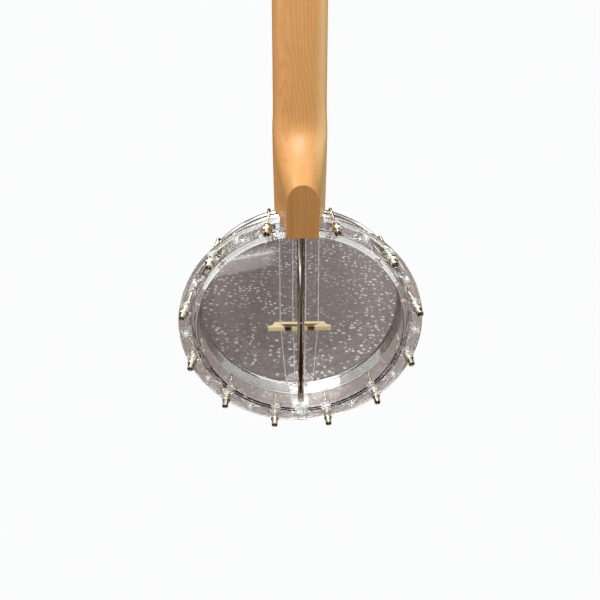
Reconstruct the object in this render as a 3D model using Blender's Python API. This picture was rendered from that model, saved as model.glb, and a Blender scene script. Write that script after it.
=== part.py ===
"""Four-string banjo ukulele with a clear pot, upright, with its neck along +Z.

The drum head faces -Y and the pot's open back faces +Y. The origin is the lowest
point of the pot, half way through its depth. Lengths below are in millimetres, and
heights are measured from the pot's centre unless a comment says otherwise.
"""

import math

import bmesh
import bpy
from mathutils import Matrix, Vector

MM = 0.001
GAP = 0.3                   # air left between pieces that touch on the real object
SEAM = 0.001                # keeps the faces of two joined blocks out of one plane

# Pot: a clear shell with a flange for the brackets, the head and its two hoops.
POT_STEPS = 72              # faces around each large ring
SHELL_R = 101.3
SHELL_BORE_R = 98.0
BACK_LIP_R = 94.3
SHELL_FRONT_Y = -24.0
SHELL_BACK_Y = 20.6
FLANGE_R = 111.2
FLANGE_RING_R = 108.4       # inside of the flange's outer ring
WEB_FRONT_Y = 16.8
WEB_BACK_Y = 20.0
PANE = 1.0                  # left at the front of the recesses between the struts
STRUT_FOOT = 7.0            # degrees from a boss to where its struts meet the shell
RECESS_END = 11.4           # degrees from a boss to the next bracket's lug
BOSS_HOLE_R = 1.1
HEEL_NOTCH = 9.0            # degrees either side of the neck
NUT_SEAT_Y = 19.8           # floor of the shallow pockets under the bracket nuts
FILM = 0.35
HOOP_R = 104.4
HOOP_BACK_Y = -10.0
HOOP_FRONT_Y = -24.4
FLESH_HOOP_R = 104.1
FLESH_HOOP_BACK_Y = -7.0
TAIL_BOSS_R = 8.5
TAIL_BOSS_END = 104.6       # how far the boss reaches from the pot's axis
BOLT_HOLE_DEPTH = 6.0       # how far inside the bore the bolt holes' cutters start

# Brackets: a hook over the hoop and a nut behind the flange, twelve times.
BRACKETS = 12
BRACKET_R = 106.0
FIRST_BRACKET = 15.0        # degrees from the neck
HOOK_WIRE_R = 1.3
HOOK_HOLE_R = 1.75
HOOK_END_Y = 30.0
HOOK_BEND_R = 2.2
CLAW_REACH = 4.2            # from the wire's line in over the hoop
NUT_COLLAR_R = 4.05
NUT_TUBE_R = 2.95
NUT_COLLAR_END = 7.6
NUT_LENGTH = 15.7
NUT_MOUTH_R = 2.1           # the wider, open end of the nut's bore

# Neck, heel and fingerboard.
NECK_FRONT_Y = -28.5        # the face under the fingerboard
BOARD_THICKNESS = 5.2
BOARD_END_Z = 100.5
NUT_SEAT_Z = 352.3          # where the fingerboard ends and the string nut starts
NECK_TOP_Z = 357.0          # where the headstock tilts back
POT_HALF_WIDTH = 22.0
NUT_HALF_WIDTH = 18.0
TAPER_START_Z = 150.0
HEEL_CAP_Y = 43.0
HEEL_HALF_WIDTH = 12.1
HEEL_TOP_Z = 142.0
HEEL_RISE = 50.0
HEEL_SPREAD = 8.2           # what each side gains between the cap and the neck's back
HEEL_SPREAD_POWER = 1.8
HEEL_ARCH = 1.15            # height of the arch over its half width
HEEL_FOOT_Z = 92.0
HEEL_INNER_Y = -14.0        # depth where the heel has merged into the neck's back
NECK_THICK = 19.0
NECK_THIN = 14.0
NECK_THINS_Z = 190.0
NECK_SIDE = 3.0             # height of the upright sides beside the fingerboard
NECK_FULLNESS = 2.5         # 2 is an ellipse, and more is squarer
HEEL_BUTT_R = 101.85
HOOP_CLEAR_R = 104.85

# Headstock, in its own frame: +Z up its length, front face at Y = 0.
TILT = math.radians(10)
HEADSTOCK_LENGTH = 113.0
HEADSTOCK_HALF_WIDTH = 31.0
HEADSTOCK_TOP_HALF_WIDTH = 29.5
HEADSTOCK_THICKNESS = 12.0
FLARE_Z = (3.0, 25.0)
CROWN = 16.0
POST_X = 19.0
POST_Z = (38.0, 78.0)

# Strings and what carries them.
SCALE_LENGTH = 381.0
BRIDGE_Z = NUT_SEAT_Z - SCALE_LENGTH + 2.0
STRING_R = 0.4
STRING_BRIDGE_Y = -38.0
STRING_NUT_Y = -35.6
STRING_TAIL_Y = -32.3
STRING_TAIL_Z = -96.0
BRIDGE_SPREAD = 40.8
NUT_SPREAD = 28.0
TAIL_SPREAD = 32.0

# Rod across the pot and the fasteners on its ends.
ROD_Y = 7.0
ROD_R = 3.3
ROD_TOP_Z = 92.0
ROD_BOTTOM_Z = -90.0
BOLT_R = 2.0
BOLT_HOLE_R = 2.4
TAIL_LEG_Z = (-107.4, -104.9)
TAIL_LEG_HALF_WIDTH = 9.5
TAIL_FAN_Y = (-31.6, -28.0)

# Tuning machine, in a frame on its post's axis: +X outboard, +Y behind the headstock.
POST_R = 2.6
POST_BORE_R = 2.9
BUSHING_R = 3.7
BUSHING_HOLE_R = 4.0
GEAR_R = 4.6
GEAR_BACK = (14.4, 17.0)    # the wheel's faces, from the headstock's front
WORM_R = 2.1
WORM_Y = 15.7
WORM_Z = GEAR_R + WORM_R + 0.2
SHAFT_R = 1.2
EAR_X = (4.6, 5.8)


def clear_scene():
    for old in list(bpy.data.objects):
        bpy.data.objects.remove(old, do_unlink=True)


def make_material(name, colour, roughness, metallic=0.0, transmission=0.0):
    material = bpy.data.materials.new(name)
    material.use_nodes = True
    shader = material.node_tree.nodes["Principled BSDF"]
    shader.inputs["Base Color"].default_value = (*colour, 1.0)
    shader.inputs["Roughness"].default_value = roughness
    shader.inputs["Metallic"].default_value = metallic
    shader.inputs["Transmission Weight"].default_value = transmission
    material.diffuse_color = (*colour, 1.0)
    return material


def make_empty(name, location, rotation=(0.0, 0.0, 0.0), parent=None):
    empty = bpy.data.objects.new(name, None)
    empty.location = Vector(location) * MM
    empty.rotation_euler = rotation
    empty.parent = parent
    bpy.context.scene.collection.objects.link(empty)
    return empty


def add(name, data, material, parent, location=(0.0, 0.0, 0.0), rotation=(0.0, 0.0, 0.0)):
    """Puts mesh or curve data into the scene as a named object."""
    if not data.materials:
        data.materials.append(material)
    thing = bpy.data.objects.new(name, data)
    thing.location = Vector(location) * MM
    thing.rotation_euler = rotation
    thing.parent = parent
    bpy.context.scene.collection.objects.link(thing)
    return thing


def to_mesh(name, shape, sharp_angle=35):
    """Finishes a bmesh as a smooth-shaded mesh whose faces point out."""
    bmesh.ops.recalc_face_normals(shape, faces=shape.faces)
    mesh = bpy.data.meshes.new(name)
    shape.to_mesh(mesh)
    shape.free()
    mesh.shade_smooth()
    mesh.set_sharp_from_angle(angle=math.radians(sharp_angle))
    return mesh


def turned(shape, profile, steps, closed=True):
    """Spins (radius, height) points about Z. An open profile starts and ends on Z."""
    points = [shape.verts.new((radius * MM, 0.0, height * MM)) for radius, height in profile]
    pairs = list(zip(points, points[1:]))
    if closed:
        pairs.append((points[-1], points[0]))
    edges = [shape.edges.new(pair) for pair in pairs]
    bmesh.ops.spin(shape, geom=points + edges, axis=(0, 0, 1), cent=(0, 0, 0),
                   angle=math.tau, steps=steps, use_merge=True)
    bmesh.ops.remove_doubles(shape, verts=shape.verts, dist=1e-7)


def loft(shape, sections):
    """Skins equal-length sections of points in millimetres, and caps both ends."""
    loops = [[shape.verts.new(Vector(point) * MM) for point in section] for section in sections]
    for low, high in zip(loops, loops[1:]):
        for index in range(len(low)):
            after = (index + 1) % len(low)
            shape.faces.new((low[index], low[after], high[after], high[index]))
    shape.faces.new(list(reversed(loops[0])))
    shape.faces.new(loops[-1])


def prism(shape, outline, low, high):
    """Extrudes an (x, z) outline along Y from low to high."""
    loft(shape, [[(x, low, z) for x, z in outline], [(x, high, z) for x, z in outline]])


def box(shape, low, high):
    prism(shape, [(low[0], low[2]), (high[0], low[2]), (high[0], high[2]), (low[0], high[2])],
          low[1], high[1])


def rod(shape, start, end, radius, steps=12):
    """A plain cylinder between two points."""
    start = Vector(start)
    along = Vector(end) - start
    place = Matrix.Translation((start + along / 2) * MM) @ along.to_track_quat("Z", "Y").to_matrix().to_4x4()
    bmesh.ops.create_cone(shape, cap_ends=True, segments=steps, radius1=radius * MM,
                          radius2=radius * MM, depth=along.length * MM, matrix=place)


def polar(radius, degrees):
    """The (x, z) of a point on the pot, by its angle from the neck."""
    angle = math.radians(degrees)
    return (radius * math.sin(angle), radius * math.cos(angle))


def shape_with(target, tool_shape, operation, name):
    """Cuts target with a hidden tool, or joins the tool to it."""
    tool = add(name, to_mesh(name, tool_shape), target.data.materials[0], target.parent,
               target.location / MM, target.rotation_euler)
    tool.hide_render = True
    tool.display_type = "WIRE"
    modifier = target.modifiers.new(name, "BOOLEAN")
    modifier.operation = operation
    modifier.object = tool
    modifier.solver = "EXACT"


def smoothstep(value):
    value = min(max(value, 0.0), 1.0)
    return value * value * (3 - 2 * value)


def neck_half_width(z):
    along = max(z - TAPER_START_Z, 0.0) / (NUT_SEAT_Z - TAPER_START_Z)
    return POT_HALF_WIDTH + (NUT_HALF_WIDTH - POT_HALF_WIDTH) * min(along, 1.0)


def bracket_angles():
    return [FIRST_BRACKET + 360.0 * index / BRACKETS for index in range(BRACKETS)]


# The pot's rings are turned about their own Z, which this rotation lays along +Y.
ABOUT_Y = (-math.pi / 2, 0.0, 0.0)


def make_rim(frame, material):
    """The one-piece clear shell, with its flange of lugs, bosses and struts."""
    ring_front, ring_back = 15.8, 22.0
    edge = 0.7
    profile = [
        (SHELL_BORE_R, SHELL_FRONT_Y + edge), (SHELL_BORE_R + edge, SHELL_FRONT_Y),
        (SHELL_R - edge, SHELL_FRONT_Y), (SHELL_R, SHELL_FRONT_Y + edge),
        (SHELL_R, WEB_FRONT_Y), (FLANGE_RING_R, WEB_FRONT_Y),
        (FLANGE_RING_R, ring_front), (FLANGE_R - edge, ring_front),
        (FLANGE_R, ring_front + edge), (FLANGE_R, ring_back - edge),
        (FLANGE_R - edge, ring_back), (FLANGE_RING_R, ring_back),
        (FLANGE_RING_R, WEB_BACK_Y), (SHELL_R, WEB_BACK_Y),
        (SHELL_R, SHELL_BACK_Y), (BACK_LIP_R + edge, SHELL_BACK_Y),
        (BACK_LIP_R, SHELL_BACK_Y - edge), (BACK_LIP_R, 16.5),
        (SHELL_BORE_R, 11.5),
    ]
    shape = bmesh.new()
    turned(shape, profile, POT_STEPS)
    turn_to_y = Matrix.Rotation(-math.pi / 2, 3, "X")
    bmesh.ops.transform(shape, matrix=turn_to_y.to_4x4(), verts=shape.verts)
    rim = add("rim", to_mesh("rim", shape), material, frame)

    boss = bmesh.new()
    rod(boss, (0, ROD_Y, -SHELL_R + 1.5), (0, ROD_Y, -TAIL_BOSS_END), TAIL_BOSS_R, 24)
    shape_with(rim, boss, "UNION", "tail_boss")

    cuts = bmesh.new()
    seats = bmesh.new()
    front, back = WEB_FRONT_Y - 2, ring_back + 1
    for bracket in bracket_angles():
        x, z = polar(BRACKET_R, bracket)
        rod(cuts, (x, front, z), (x, back, z), HOOK_HOLE_R)
        rod(seats, (x, NUT_SEAT_Y, z), (x, back, z), NUT_COLLAR_R + 0.5, 16)
    for boss_angle in range(30, 360, 30):
        x, z = polar(BRACKET_R, boss_angle)
        rod(cuts, (x, front, z), (x, back, z), BOSS_HOLE_R, 8)
        for recess in flange_recesses(boss_angle):
            prism(cuts, recess, WEB_FRONT_Y + PANE, back)
    prism(cuts, heel_notch(), ring_front - 2, ring_back + 2)
    start = SHELL_BORE_R - BOLT_HOLE_DEPTH
    rod(cuts, (0, ROD_Y, start), (0, ROD_Y, SHELL_R + 4), BOLT_HOLE_R)
    rod(cuts, (0, ROD_Y, -start), (0, ROD_Y, -TAIL_BOSS_END - 4), BOLT_HOLE_R)
    shape_with(rim, seats, "DIFFERENCE", "nut_seats")
    shape_with(rim, cuts, "DIFFERENCE", "rim_cuts")


def flange_recesses(middle):
    """Outlines of the recesses either side of a boss and between its two struts."""
    inner, outer = SHELL_R + 1.0, FLANGE_RING_R - 0.9
    half = STRUT_FOOT / 2
    recesses = [[polar(inner, middle - half), polar(inner, middle + half), polar(inner + 1.4, middle)]]
    for side in (-1, 1):
        recesses.append([
            polar(inner, middle + side * STRUT_FOOT), polar(outer, middle + side * 3.0),
            polar(outer, middle + side * RECESS_END), polar(inner, middle + side * RECESS_END)])
    return recesses


def heel_notch():
    """The gap in the flange where the heel meets the shell."""
    inner = [polar(SHELL_R + 0.2, HEEL_NOTCH * step / 3) for step in range(-3, 4)]
    outer = [polar(FLANGE_R + 3, HEEL_NOTCH), polar(FLANGE_R + 3, -HEEL_NOTCH)]
    return inner + outer


def make_head(frame, material):
    """The drum film over the shell's edge, with its skirt down to the flesh hoop."""
    inside = SHELL_R + GAP
    outside = inside + FILM
    back = SHELL_FRONT_Y - GAP
    front = back - FILM
    shape = bmesh.new()
    turned(shape, [(0, front), (outside, front), (outside, FLESH_HOOP_BACK_Y),
                   (inside, FLESH_HOOP_BACK_Y), (inside, back), (0, back)], POT_STEPS, False)
    add("head", to_mesh("head", shape), material, frame, rotation=ABOUT_Y)
    return outside


def make_hoops(frame, material, film_outside):
    inside = film_outside + GAP
    edge = 0.5
    shape = bmesh.new()
    turned(shape, [(inside, HOOP_FRONT_Y + edge), (inside + edge, HOOP_FRONT_Y),
                   (HOOP_R - edge, HOOP_FRONT_Y), (HOOP_R, HOOP_FRONT_Y + edge),
                   (HOOP_R, HOOP_BACK_Y), (inside, HOOP_BACK_Y)], POT_STEPS)
    add("tension_hoop", to_mesh("tension_hoop", shape), material, frame, rotation=ABOUT_Y)
    shape = bmesh.new()
    turned(shape, [(inside, HOOP_BACK_Y + GAP), (FLESH_HOOP_R, HOOP_BACK_Y + GAP),
                   (FLESH_HOOP_R, FLESH_HOOP_BACK_Y), (inside, FLESH_HOOP_BACK_Y)], POT_STEPS)
    add("flesh_hoop", to_mesh("flesh_hoop", shape), material, frame, rotation=ABOUT_Y)


def make_tube(name, points, radius, sides=1):
    """A round wire along a list of points, as a curve with closed ends."""
    curve = bpy.data.curves.new(name, "CURVE")
    curve.dimensions = "3D"
    curve.bevel_depth = radius * MM
    curve.bevel_resolution = sides
    curve.use_fill_caps = True
    spline = curve.splines.new("POLY")
    spline.points.add(len(points) - 1)
    for target, point in zip(spline.points, points):
        target.co = (*(Vector(point) * MM), 1.0)
    return curve


def hook_points():
    """Up along the shell at the bracket circle, then in over the hoop."""
    claw_y = HOOP_FRONT_Y - HOOK_WIRE_R - GAP
    bend_y = claw_y + HOOK_BEND_R
    points = [(0, HOOK_END_Y, BRACKET_R), (0, bend_y, BRACKET_R)]
    for step in (30, 60, 90):
        angle = math.radians(step)
        inward = HOOK_BEND_R * (1 - math.cos(angle))
        points.append((0, bend_y - HOOK_BEND_R * math.sin(angle), BRACKET_R - inward))
    points.append((0, claw_y, BRACKET_R - CLAW_REACH))
    return points


def make_brackets(frame, metal):
    hook = make_tube("hook", hook_points(), HOOK_WIRE_R)
    shape = bmesh.new()
    bore = HOOK_WIRE_R + 0.35
    turned(shape, [(bore, 0), (NUT_COLLAR_R, 0), (NUT_COLLAR_R, NUT_COLLAR_END),
                   (NUT_TUBE_R, NUT_COLLAR_END + 0.8), (NUT_TUBE_R, NUT_LENGTH),
                   (NUT_MOUTH_R, NUT_LENGTH), (NUT_MOUTH_R, NUT_COLLAR_END + 2.4),
                   (bore, NUT_COLLAR_END + 1.9)], 12)
    nut = to_mesh("bracket_nut", shape)
    for number, angle in enumerate(bracket_angles(), 1):
        add(f"hook_{number:02d}", hook, metal, frame, rotation=(0.0, math.radians(angle), 0.0))
        x, z = polar(BRACKET_R, angle)
        add(f"bracket_nut_{number:02d}", nut, metal, frame, (x, NUT_SEAT_Y + GAP, z), ABOUT_Y)


def neck_section(z, half_width, front, depth):
    """A flat front with short upright sides and a rounded back."""
    fullness = 2 / NECK_FULLNESS
    points = [(half_width, front, z)]
    for step in range(13):
        angle = math.pi * step / 12
        x = half_width * math.copysign(abs(math.cos(angle)) ** fullness, math.cos(angle))
        if step == 6:
            x = 0.0
        y = front + NECK_SIDE + (depth - NECK_SIDE) * math.sin(angle) ** fullness
        points.append((x, y, z))
    points.append((-half_width, front, z))
    return points


def neck_sections():
    sections = []
    for z in (96.0, 124.0, TAPER_START_Z, 175.0, 200.0, 240.0, 280.0, 320.0, NUT_SEAT_Z, NECK_TOP_Z):
        slim = smoothstep((z - NECK_THINS_Z) / (NUT_SEAT_Z - NECK_THINS_Z))
        depth = NECK_THICK + (NECK_THIN - NECK_THICK) * slim
        sections.append(neck_section(z, neck_half_width(z), NECK_FRONT_Y, depth))
    # A last section sunk a little way inside the headstock, so that the two blocks join.
    sections.append(neck_section(NECK_TOP_Z + 6, NUT_HALF_WIDTH - 1, NECK_FRONT_Y + 1.4, 11.4))
    return sections


def heel_section(y):
    """An arch in the (x, z) plane, which widens and rises towards the neck's back."""
    along = (HEEL_CAP_Y - y) / (HEEL_CAP_Y - HEEL_INNER_Y)
    half_width = HEEL_HALF_WIDTH + HEEL_SPREAD * along ** HEEL_SPREAD_POWER
    top = HEEL_TOP_Z + HEEL_RISE * (1 - math.sqrt(1 - along * along))
    arch = half_width * HEEL_ARCH
    points = [(half_width, y, HEEL_FOOT_Z)]
    for step in range(13):
        angle = math.pi * step / 12
        points.append((half_width * math.cos(angle), y, top - arch + arch * math.sin(angle)))
    points.append((-half_width, y, HEEL_FOOT_Z))
    return points


def headstock_outline():
    """Right half from the neck up a flare to a rounded crown, then the left half."""
    right = [(NUT_HALF_WIDTH - 0.1, -0.5)]
    start, end = FLARE_Z
    for step in range(7):
        x = NUT_HALF_WIDTH + (HEADSTOCK_HALF_WIDTH - NUT_HALF_WIDTH) * smoothstep(step / 6)
        right.append((x, start + (end - start) * step / 6))
    for step in range(7):
        angle = math.pi / 2 * step / 6
        x = HEADSTOCK_TOP_HALF_WIDTH * math.cos(angle) ** 0.7
        right.append((x if step < 6 else 0.0, HEADSTOCK_LENGTH - CROWN + CROWN * math.sin(angle)))
    left = [(-x, z) for x, z in reversed(right[:-1])]
    return right + left


def make_neck(frame, headstock_frame, wood):
    shape = bmesh.new()
    loft(shape, neck_sections())
    neck = add("neck", to_mesh("neck", shape, 25), wood, frame)

    heel = bmesh.new()
    depths = (HEEL_CAP_Y, 36.0, 28.0, 20.0, 12.0, 6.0, 0.0, -5.0, -9.0, -12.0, -13.7)
    loft(heel, [heel_section(y) for y in depths])
    shape_with(neck, heel, "UNION", "heel_block")

    headstock = bmesh.new()
    prism(headstock, headstock_outline(), 0.0, HEADSTOCK_THICKNESS)
    bmesh.ops.transform(headstock, matrix=headstock_frame.matrix_local, verts=headstock.verts)
    shape_with(neck, headstock, "UNION", "headstock_block")

    cuts = bmesh.new()
    rod(cuts, (0, FLESH_HOOP_BACK_Y + 1.0, 0), (0, 60, 0), HEEL_BUTT_R, POT_STEPS)
    shape_with(neck, cuts, "DIFFERENCE", "heel_butt")
    cuts = bmesh.new()
    rod(cuts, (0, -60, 0), (0, FLESH_HOOP_BACK_Y + 1.2, 0), HOOP_CLEAR_R, POT_STEPS)
    shape_with(neck, cuts, "DIFFERENCE", "hoop_clearance")
    cuts = bmesh.new()
    rod(cuts, (0, ROD_Y, 95), (0, ROD_Y, 130), BOLT_HOLE_R)
    shape_with(neck, cuts, "DIFFERENCE", "lag_hole")
    cuts = bmesh.new()
    for x, z in tuner_places():
        rod(cuts, (x, -4, z), (x, HEADSTOCK_THICKNESS + 4, z), BUSHING_HOLE_R, 16)
    bmesh.ops.transform(cuts, matrix=headstock_frame.matrix_local, verts=cuts.verts)
    shape_with(neck, cuts, "DIFFERENCE", "tuner_holes")


def make_fingerboard(frame, board, bone):
    back = NECK_FRONT_Y - GAP
    front = back - BOARD_THICKNESS
    shape = bmesh.new()
    sections = []
    for z in (BOARD_END_Z, TAPER_START_Z, NUT_SEAT_Z - GAP):
        wide = neck_half_width(z)
        sections.append([(wide, back, z), (wide, front, z), (-wide, front, z), (-wide, back, z)])
    loft(shape, sections)
    add("fingerboard", to_mesh("fingerboard", shape), board, frame)
    shape = bmesh.new()
    top = STRING_NUT_Y + STRING_R + GAP
    outline = [(back, NUT_SEAT_Z), (top, NUT_SEAT_Z), (top, NUT_SEAT_Z + 2.4),
               (top + 1.6, NUT_SEAT_Z + 4.2), (back, NUT_SEAT_Z + 4.2)]
    wide = NUT_HALF_WIDTH
    loft(shape, [[(-wide, y, z) for y, z in outline], [(wide, y, z) for y, z in outline]])
    add("string_nut", to_mesh("string_nut", shape), bone, frame)


def make_bridge(frame, wood):
    """Three feet with T-shaped gaps between them, thinner towards the top."""
    foot = SHELL_FRONT_Y - GAP - FILM - GAP
    height = foot - (STRING_BRIDGE_Y + STRING_R + GAP)
    right = [(8.5, 0), (8.5, 4.6), (5.4, 4.6), (5.4, 6.2), (18.6, 6.2), (18.6, 4.6), (15.5, 4.6),
             (15.5, 0), (33, 0), (33, 3.0), (30, 4.6), (27.5, 7.6), (27, height)]
    outline = right + [(-x, up) for x, up in reversed(right)]
    shape = bmesh.new()
    sections = []
    for side in (-1, 1):
        sections.append([(x, foot - up, BRIDGE_Z + side * (2.7 - 1.5 * up / height)) for x, up in outline])
    loft(shape, sections)
    add("bridge", to_mesh("bridge", shape), wood, frame)


def make_tailpiece(frame, material):
    """A fan over the hoop's edge, on a leg that runs back under the tail bolt."""
    front, back = TAIL_FAN_Y
    low, high = TAIL_LEG_Z
    half_leg = TAIL_LEG_HALF_WIDTH
    outline = [(half_leg, low), (16.5, -99.5)]
    outline += [(17.0 * math.sin(angle), -105.5 + 16.5 * math.cos(angle))
                for angle in (math.radians(step) for step in range(60, -61, -15))]
    outline += [(-16.5, -99.5), (-half_leg, low)]
    shape = bmesh.new()
    prism(shape, outline, front, back)
    tailpiece = add("tailpiece", to_mesh("tailpiece", shape), material, frame)
    leg = bmesh.new()
    ring = [(half_leg * math.sin(math.radians(step)), ROD_Y - 1 + half_leg * math.cos(math.radians(step)))
            for step in range(-90, 91, 30)]
    ground = [(-half_leg, front + 0.4)] + ring + [(half_leg, front + 0.4)]
    loft(leg, [[(x, y, low + SEAM) for x, y in ground], [(x, y, high) for x, y in ground]])
    shape_with(tailpiece, leg, "UNION", "tail_leg")
    hole = bmesh.new()
    rod(hole, (0, ROD_Y, low - 3), (0, ROD_Y, high + 3), BOLT_HOLE_R)
    shape_with(tailpiece, hole, "DIFFERENCE", "tail_hole")


def make_rod(frame, metal):
    """Turned pieces on the line from the heel to the tail, each about its own Z."""
    bore = BOLT_R + GAP
    pieces = {
        "coordinator_rod": [(0, ROD_BOTTOM_Z + 16), (bore, ROD_BOTTOM_Z + 16), (bore, ROD_BOTTOM_Z),
                            (ROD_R, ROD_BOTTOM_Z), (ROD_R, ROD_TOP_Z), (bore, ROD_TOP_Z),
                            (bore, ROD_TOP_Z - 18), (0, ROD_TOP_Z - 18)],
        "neck_lag_bolt": [(0, ROD_TOP_Z - 17), (BOLT_R, ROD_TOP_Z - 17), (BOLT_R, 126.0), (0, 129.5)],
        "tail_bolt": [(0, -110.9), (3.8, -110.9), (4.4, -110.2), (4.4, -108.8), (BOLT_R, -108.8),
                      (BOLT_R, ROD_BOTTOM_Z + 15), (0, ROD_BOTTOM_Z + 15)],
    }
    rings = {
        "rod_neck_nut": (bore, 5.0, ROD_TOP_Z + GAP, 97.5),
        "rod_tail_nut": (bore, 3.8, -97.5, ROD_BOTTOM_Z - GAP),
        "tail_washer": (bore, 6.5, -108.5, TAIL_LEG_Z[0] - GAP),
    }
    for name, profile in pieces.items():
        shape = bmesh.new()
        turned(shape, profile, 16, False)
        add(name, to_mesh(name, shape), metal, frame, (0, ROD_Y, 0))
    for name, (inside, outside, low, high) in rings.items():
        shape = bmesh.new()
        turned(shape, [(inside, low), (outside, low), (outside, high), (inside, high)], 16)
        add(name, to_mesh(name, shape), metal, frame, (0, ROD_Y, 0))
    hole = bmesh.new()
    rod(hole, (0, -8, 3.0), (0, 8, 3.0), 1.3, 8)
    shape_with(bpy.data.objects["coordinator_rod"], hole, "DIFFERENCE", "rod_cross_hole")


def tuner_places():
    """(x, z) of each post on the headstock, in the order of the strings."""
    return [(-POST_X, POST_Z[0]), (-POST_X, POST_Z[1]), (POST_X, POST_Z[1]), (POST_X, POST_Z[0])]


def spread_x(spread, index):
    return spread * (index / 3 - 0.5)


def make_strings(frame, headstock_frame, nylon):
    """From the tailpiece over the bridge and the nut to the inner side of each post."""
    for index, (post_x, post_z) in enumerate(tuner_places()):
        side = math.copysign(1, post_x)
        beside = post_x - side * (POST_R + GAP + STRING_R)
        end = headstock_frame.matrix_local @ (Vector((beside, -5.0, post_z + 2.0)) * MM) / MM
        points = [
            (spread_x(TAIL_SPREAD, index), STRING_TAIL_Y, STRING_TAIL_Z),
            (spread_x(BRIDGE_SPREAD, index), STRING_BRIDGE_Y, BRIDGE_Z),
            (spread_x(NUT_SPREAD, index), STRING_NUT_Y, NUT_SEAT_Z + 1.0),
            end,
        ]
        add(f"string_{index + 1}", make_tube("string", points, STRING_R), nylon, frame)


def tuner_plate_mesh(metal):
    """Base plate with two ears that carry the worm shaft."""
    front = HEADSTOCK_THICKNESS + GAP
    back = front + 1.0
    shape = bmesh.new()
    box(shape, (-EAR_X[1], front, -11.0), (EAR_X[1], back, 13.5))
    plate = add("plate_blank", to_mesh("plate_blank", shape), metal, None)
    for side in (-1, 1):
        ear = bmesh.new()
        low, high = sorted((side * EAR_X[0], side * (EAR_X[1] + SEAM)))
        box(ear, (low, back - 0.5, WORM_Z - 2.9), (high, WORM_Y + 2.7, WORM_Z + 2.9))
        shape_with(plate, ear, "UNION", "ear")
    holes = bmesh.new()
    rod(holes, (0, front - 3, 0), (0, back + 3, 0), POST_BORE_R, 12)
    rod(holes, (-9, WORM_Y, WORM_Z), (9, WORM_Y, WORM_Z), SHAFT_R + GAP, 10)
    shape_with(plate, holes, "DIFFERENCE", "plate_holes")
    return baked(plate, "tuner_plate")


def baked(thing, name):
    """The object's mesh with its modifiers applied. The object and its tools go."""
    mesh = bpy.data.meshes.new_from_object(
        thing.evaluated_get(bpy.context.evaluated_depsgraph_get()))
    mesh.name = name
    tools = [modifier.object for modifier in thing.modifiers]
    for spent in tools + [thing]:
        bpy.data.objects.remove(spent, do_unlink=True)
    return mesh


def tuner_knob_mesh():
    """Worm, shaft and finger button in one piece, turned about X and then flattened."""
    start, end = 16.5, 27.5
    profile = [(0, -6.9), (SHAFT_R, -6.9), (SHAFT_R, -4.2), (WORM_R, -4.2), (WORM_R, 4.2),
               (SHAFT_R, 4.2), (SHAFT_R, start), (3.4, start + 0.6), (5.2, start + 3.0),
               (5.6, start + 6.0), (4.6, end - 1.6), (2.6, end), (0, end)]
    shape = bmesh.new()
    turned(shape, profile, 12, False)
    for vert in shape.verts:
        if vert.co.z > (start + 0.1) * MM:
            vert.co.x *= 1.25
            vert.co.y *= 0.6
    return to_mesh("tuner_knob", shape)


def tuner_post_mesh():
    low, high = GEAR_BACK
    profile = [(0, high), (1.6, high), (1.6, high - 0.4), (GEAR_R, high - 0.4), (GEAR_R, low),
               (POST_R, low), (POST_R, -4.2), (2.0, -5.0), (POST_R, -6.4), (POST_R, -9.6), (0, -9.6)]
    shape = bmesh.new()
    turned(shape, profile, 14, False)
    return to_mesh("tuner_post", shape)


def make_tuners(headstock_frame, metal, button):
    plate = tuner_plate_mesh(metal)
    knob = tuner_knob_mesh()
    post = tuner_post_mesh()
    shape = bmesh.new()
    turned(shape, [(POST_BORE_R, 8.0), (POST_BORE_R, -1.8), (5.0, -1.8), (5.4, -1.4), (5.4, -GAP),
                   (BUSHING_R, -GAP), (BUSHING_R, 8.0)], 16)
    bushing = to_mesh("tuner_bushing", shape)
    for number, (x, z) in enumerate(tuner_places(), 1):
        lean = math.copysign(math.pi / 2, x)
        frame = make_empty(f"tuner_{number}_frame", (x, 0, z), parent=headstock_frame)
        add(f"tuner_{number}_plate", plate, metal, frame)
        add(f"tuner_{number}_bushing", bushing, metal, frame, rotation=ABOUT_Y)
        add(f"tuner_{number}_post", post, metal, frame, rotation=ABOUT_Y)
        add(f"tuner_{number}_knob", knob, button, frame, (0, WORM_Y, WORM_Z), (0.0, lean, 0.0))


def main():
    clear_scene()
    clear = make_material("clear_plastic", (0.93, 0.95, 0.95), 0.05, transmission=0.9)
    film = make_material("head_film", (0.8, 0.82, 0.83), 0.08, transmission=0.9)
    chrome = make_material("chrome", (0.72, 0.7, 0.67), 0.12, metallic=1.0)
    nickel = make_material("nickel", (0.66, 0.62, 0.54), 0.2, metallic=1.0)
    maple = make_material("maple", (0.76, 0.52, 0.28), 0.45)
    pale_maple = make_material("pale_maple", (0.85, 0.68, 0.42), 0.5)
    dark_board = make_material("dark_board", (0.08, 0.05, 0.035), 0.5)
    bone = make_material("bone", (0.88, 0.85, 0.76), 0.4)
    nylon = make_material("nylon", (0.9, 0.9, 0.88), 0.3)
    pearl = make_material("button_white", (0.9, 0.88, 0.82), 0.3)

    pot = make_empty("pot_centre", (0, 0, FLANGE_R))
    headstock_frame = make_empty("headstock_frame", (0, NECK_FRONT_Y, NECK_TOP_Z), (-TILT, 0, 0), pot)
    bpy.context.view_layer.update()
    make_rim(pot, clear)
    film_outside = make_head(pot, film)
    make_hoops(pot, chrome, film_outside)
    make_brackets(pot, nickel)
    make_neck(pot, headstock_frame, maple)
    make_fingerboard(pot, dark_board, bone)
    make_bridge(pot, pale_maple)
    make_tailpiece(pot, clear)
    make_rod(pot, chrome)
    make_strings(pot, headstock_frame, nylon)
    make_tuners(headstock_frame, nickel, pearl)


main()
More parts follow.
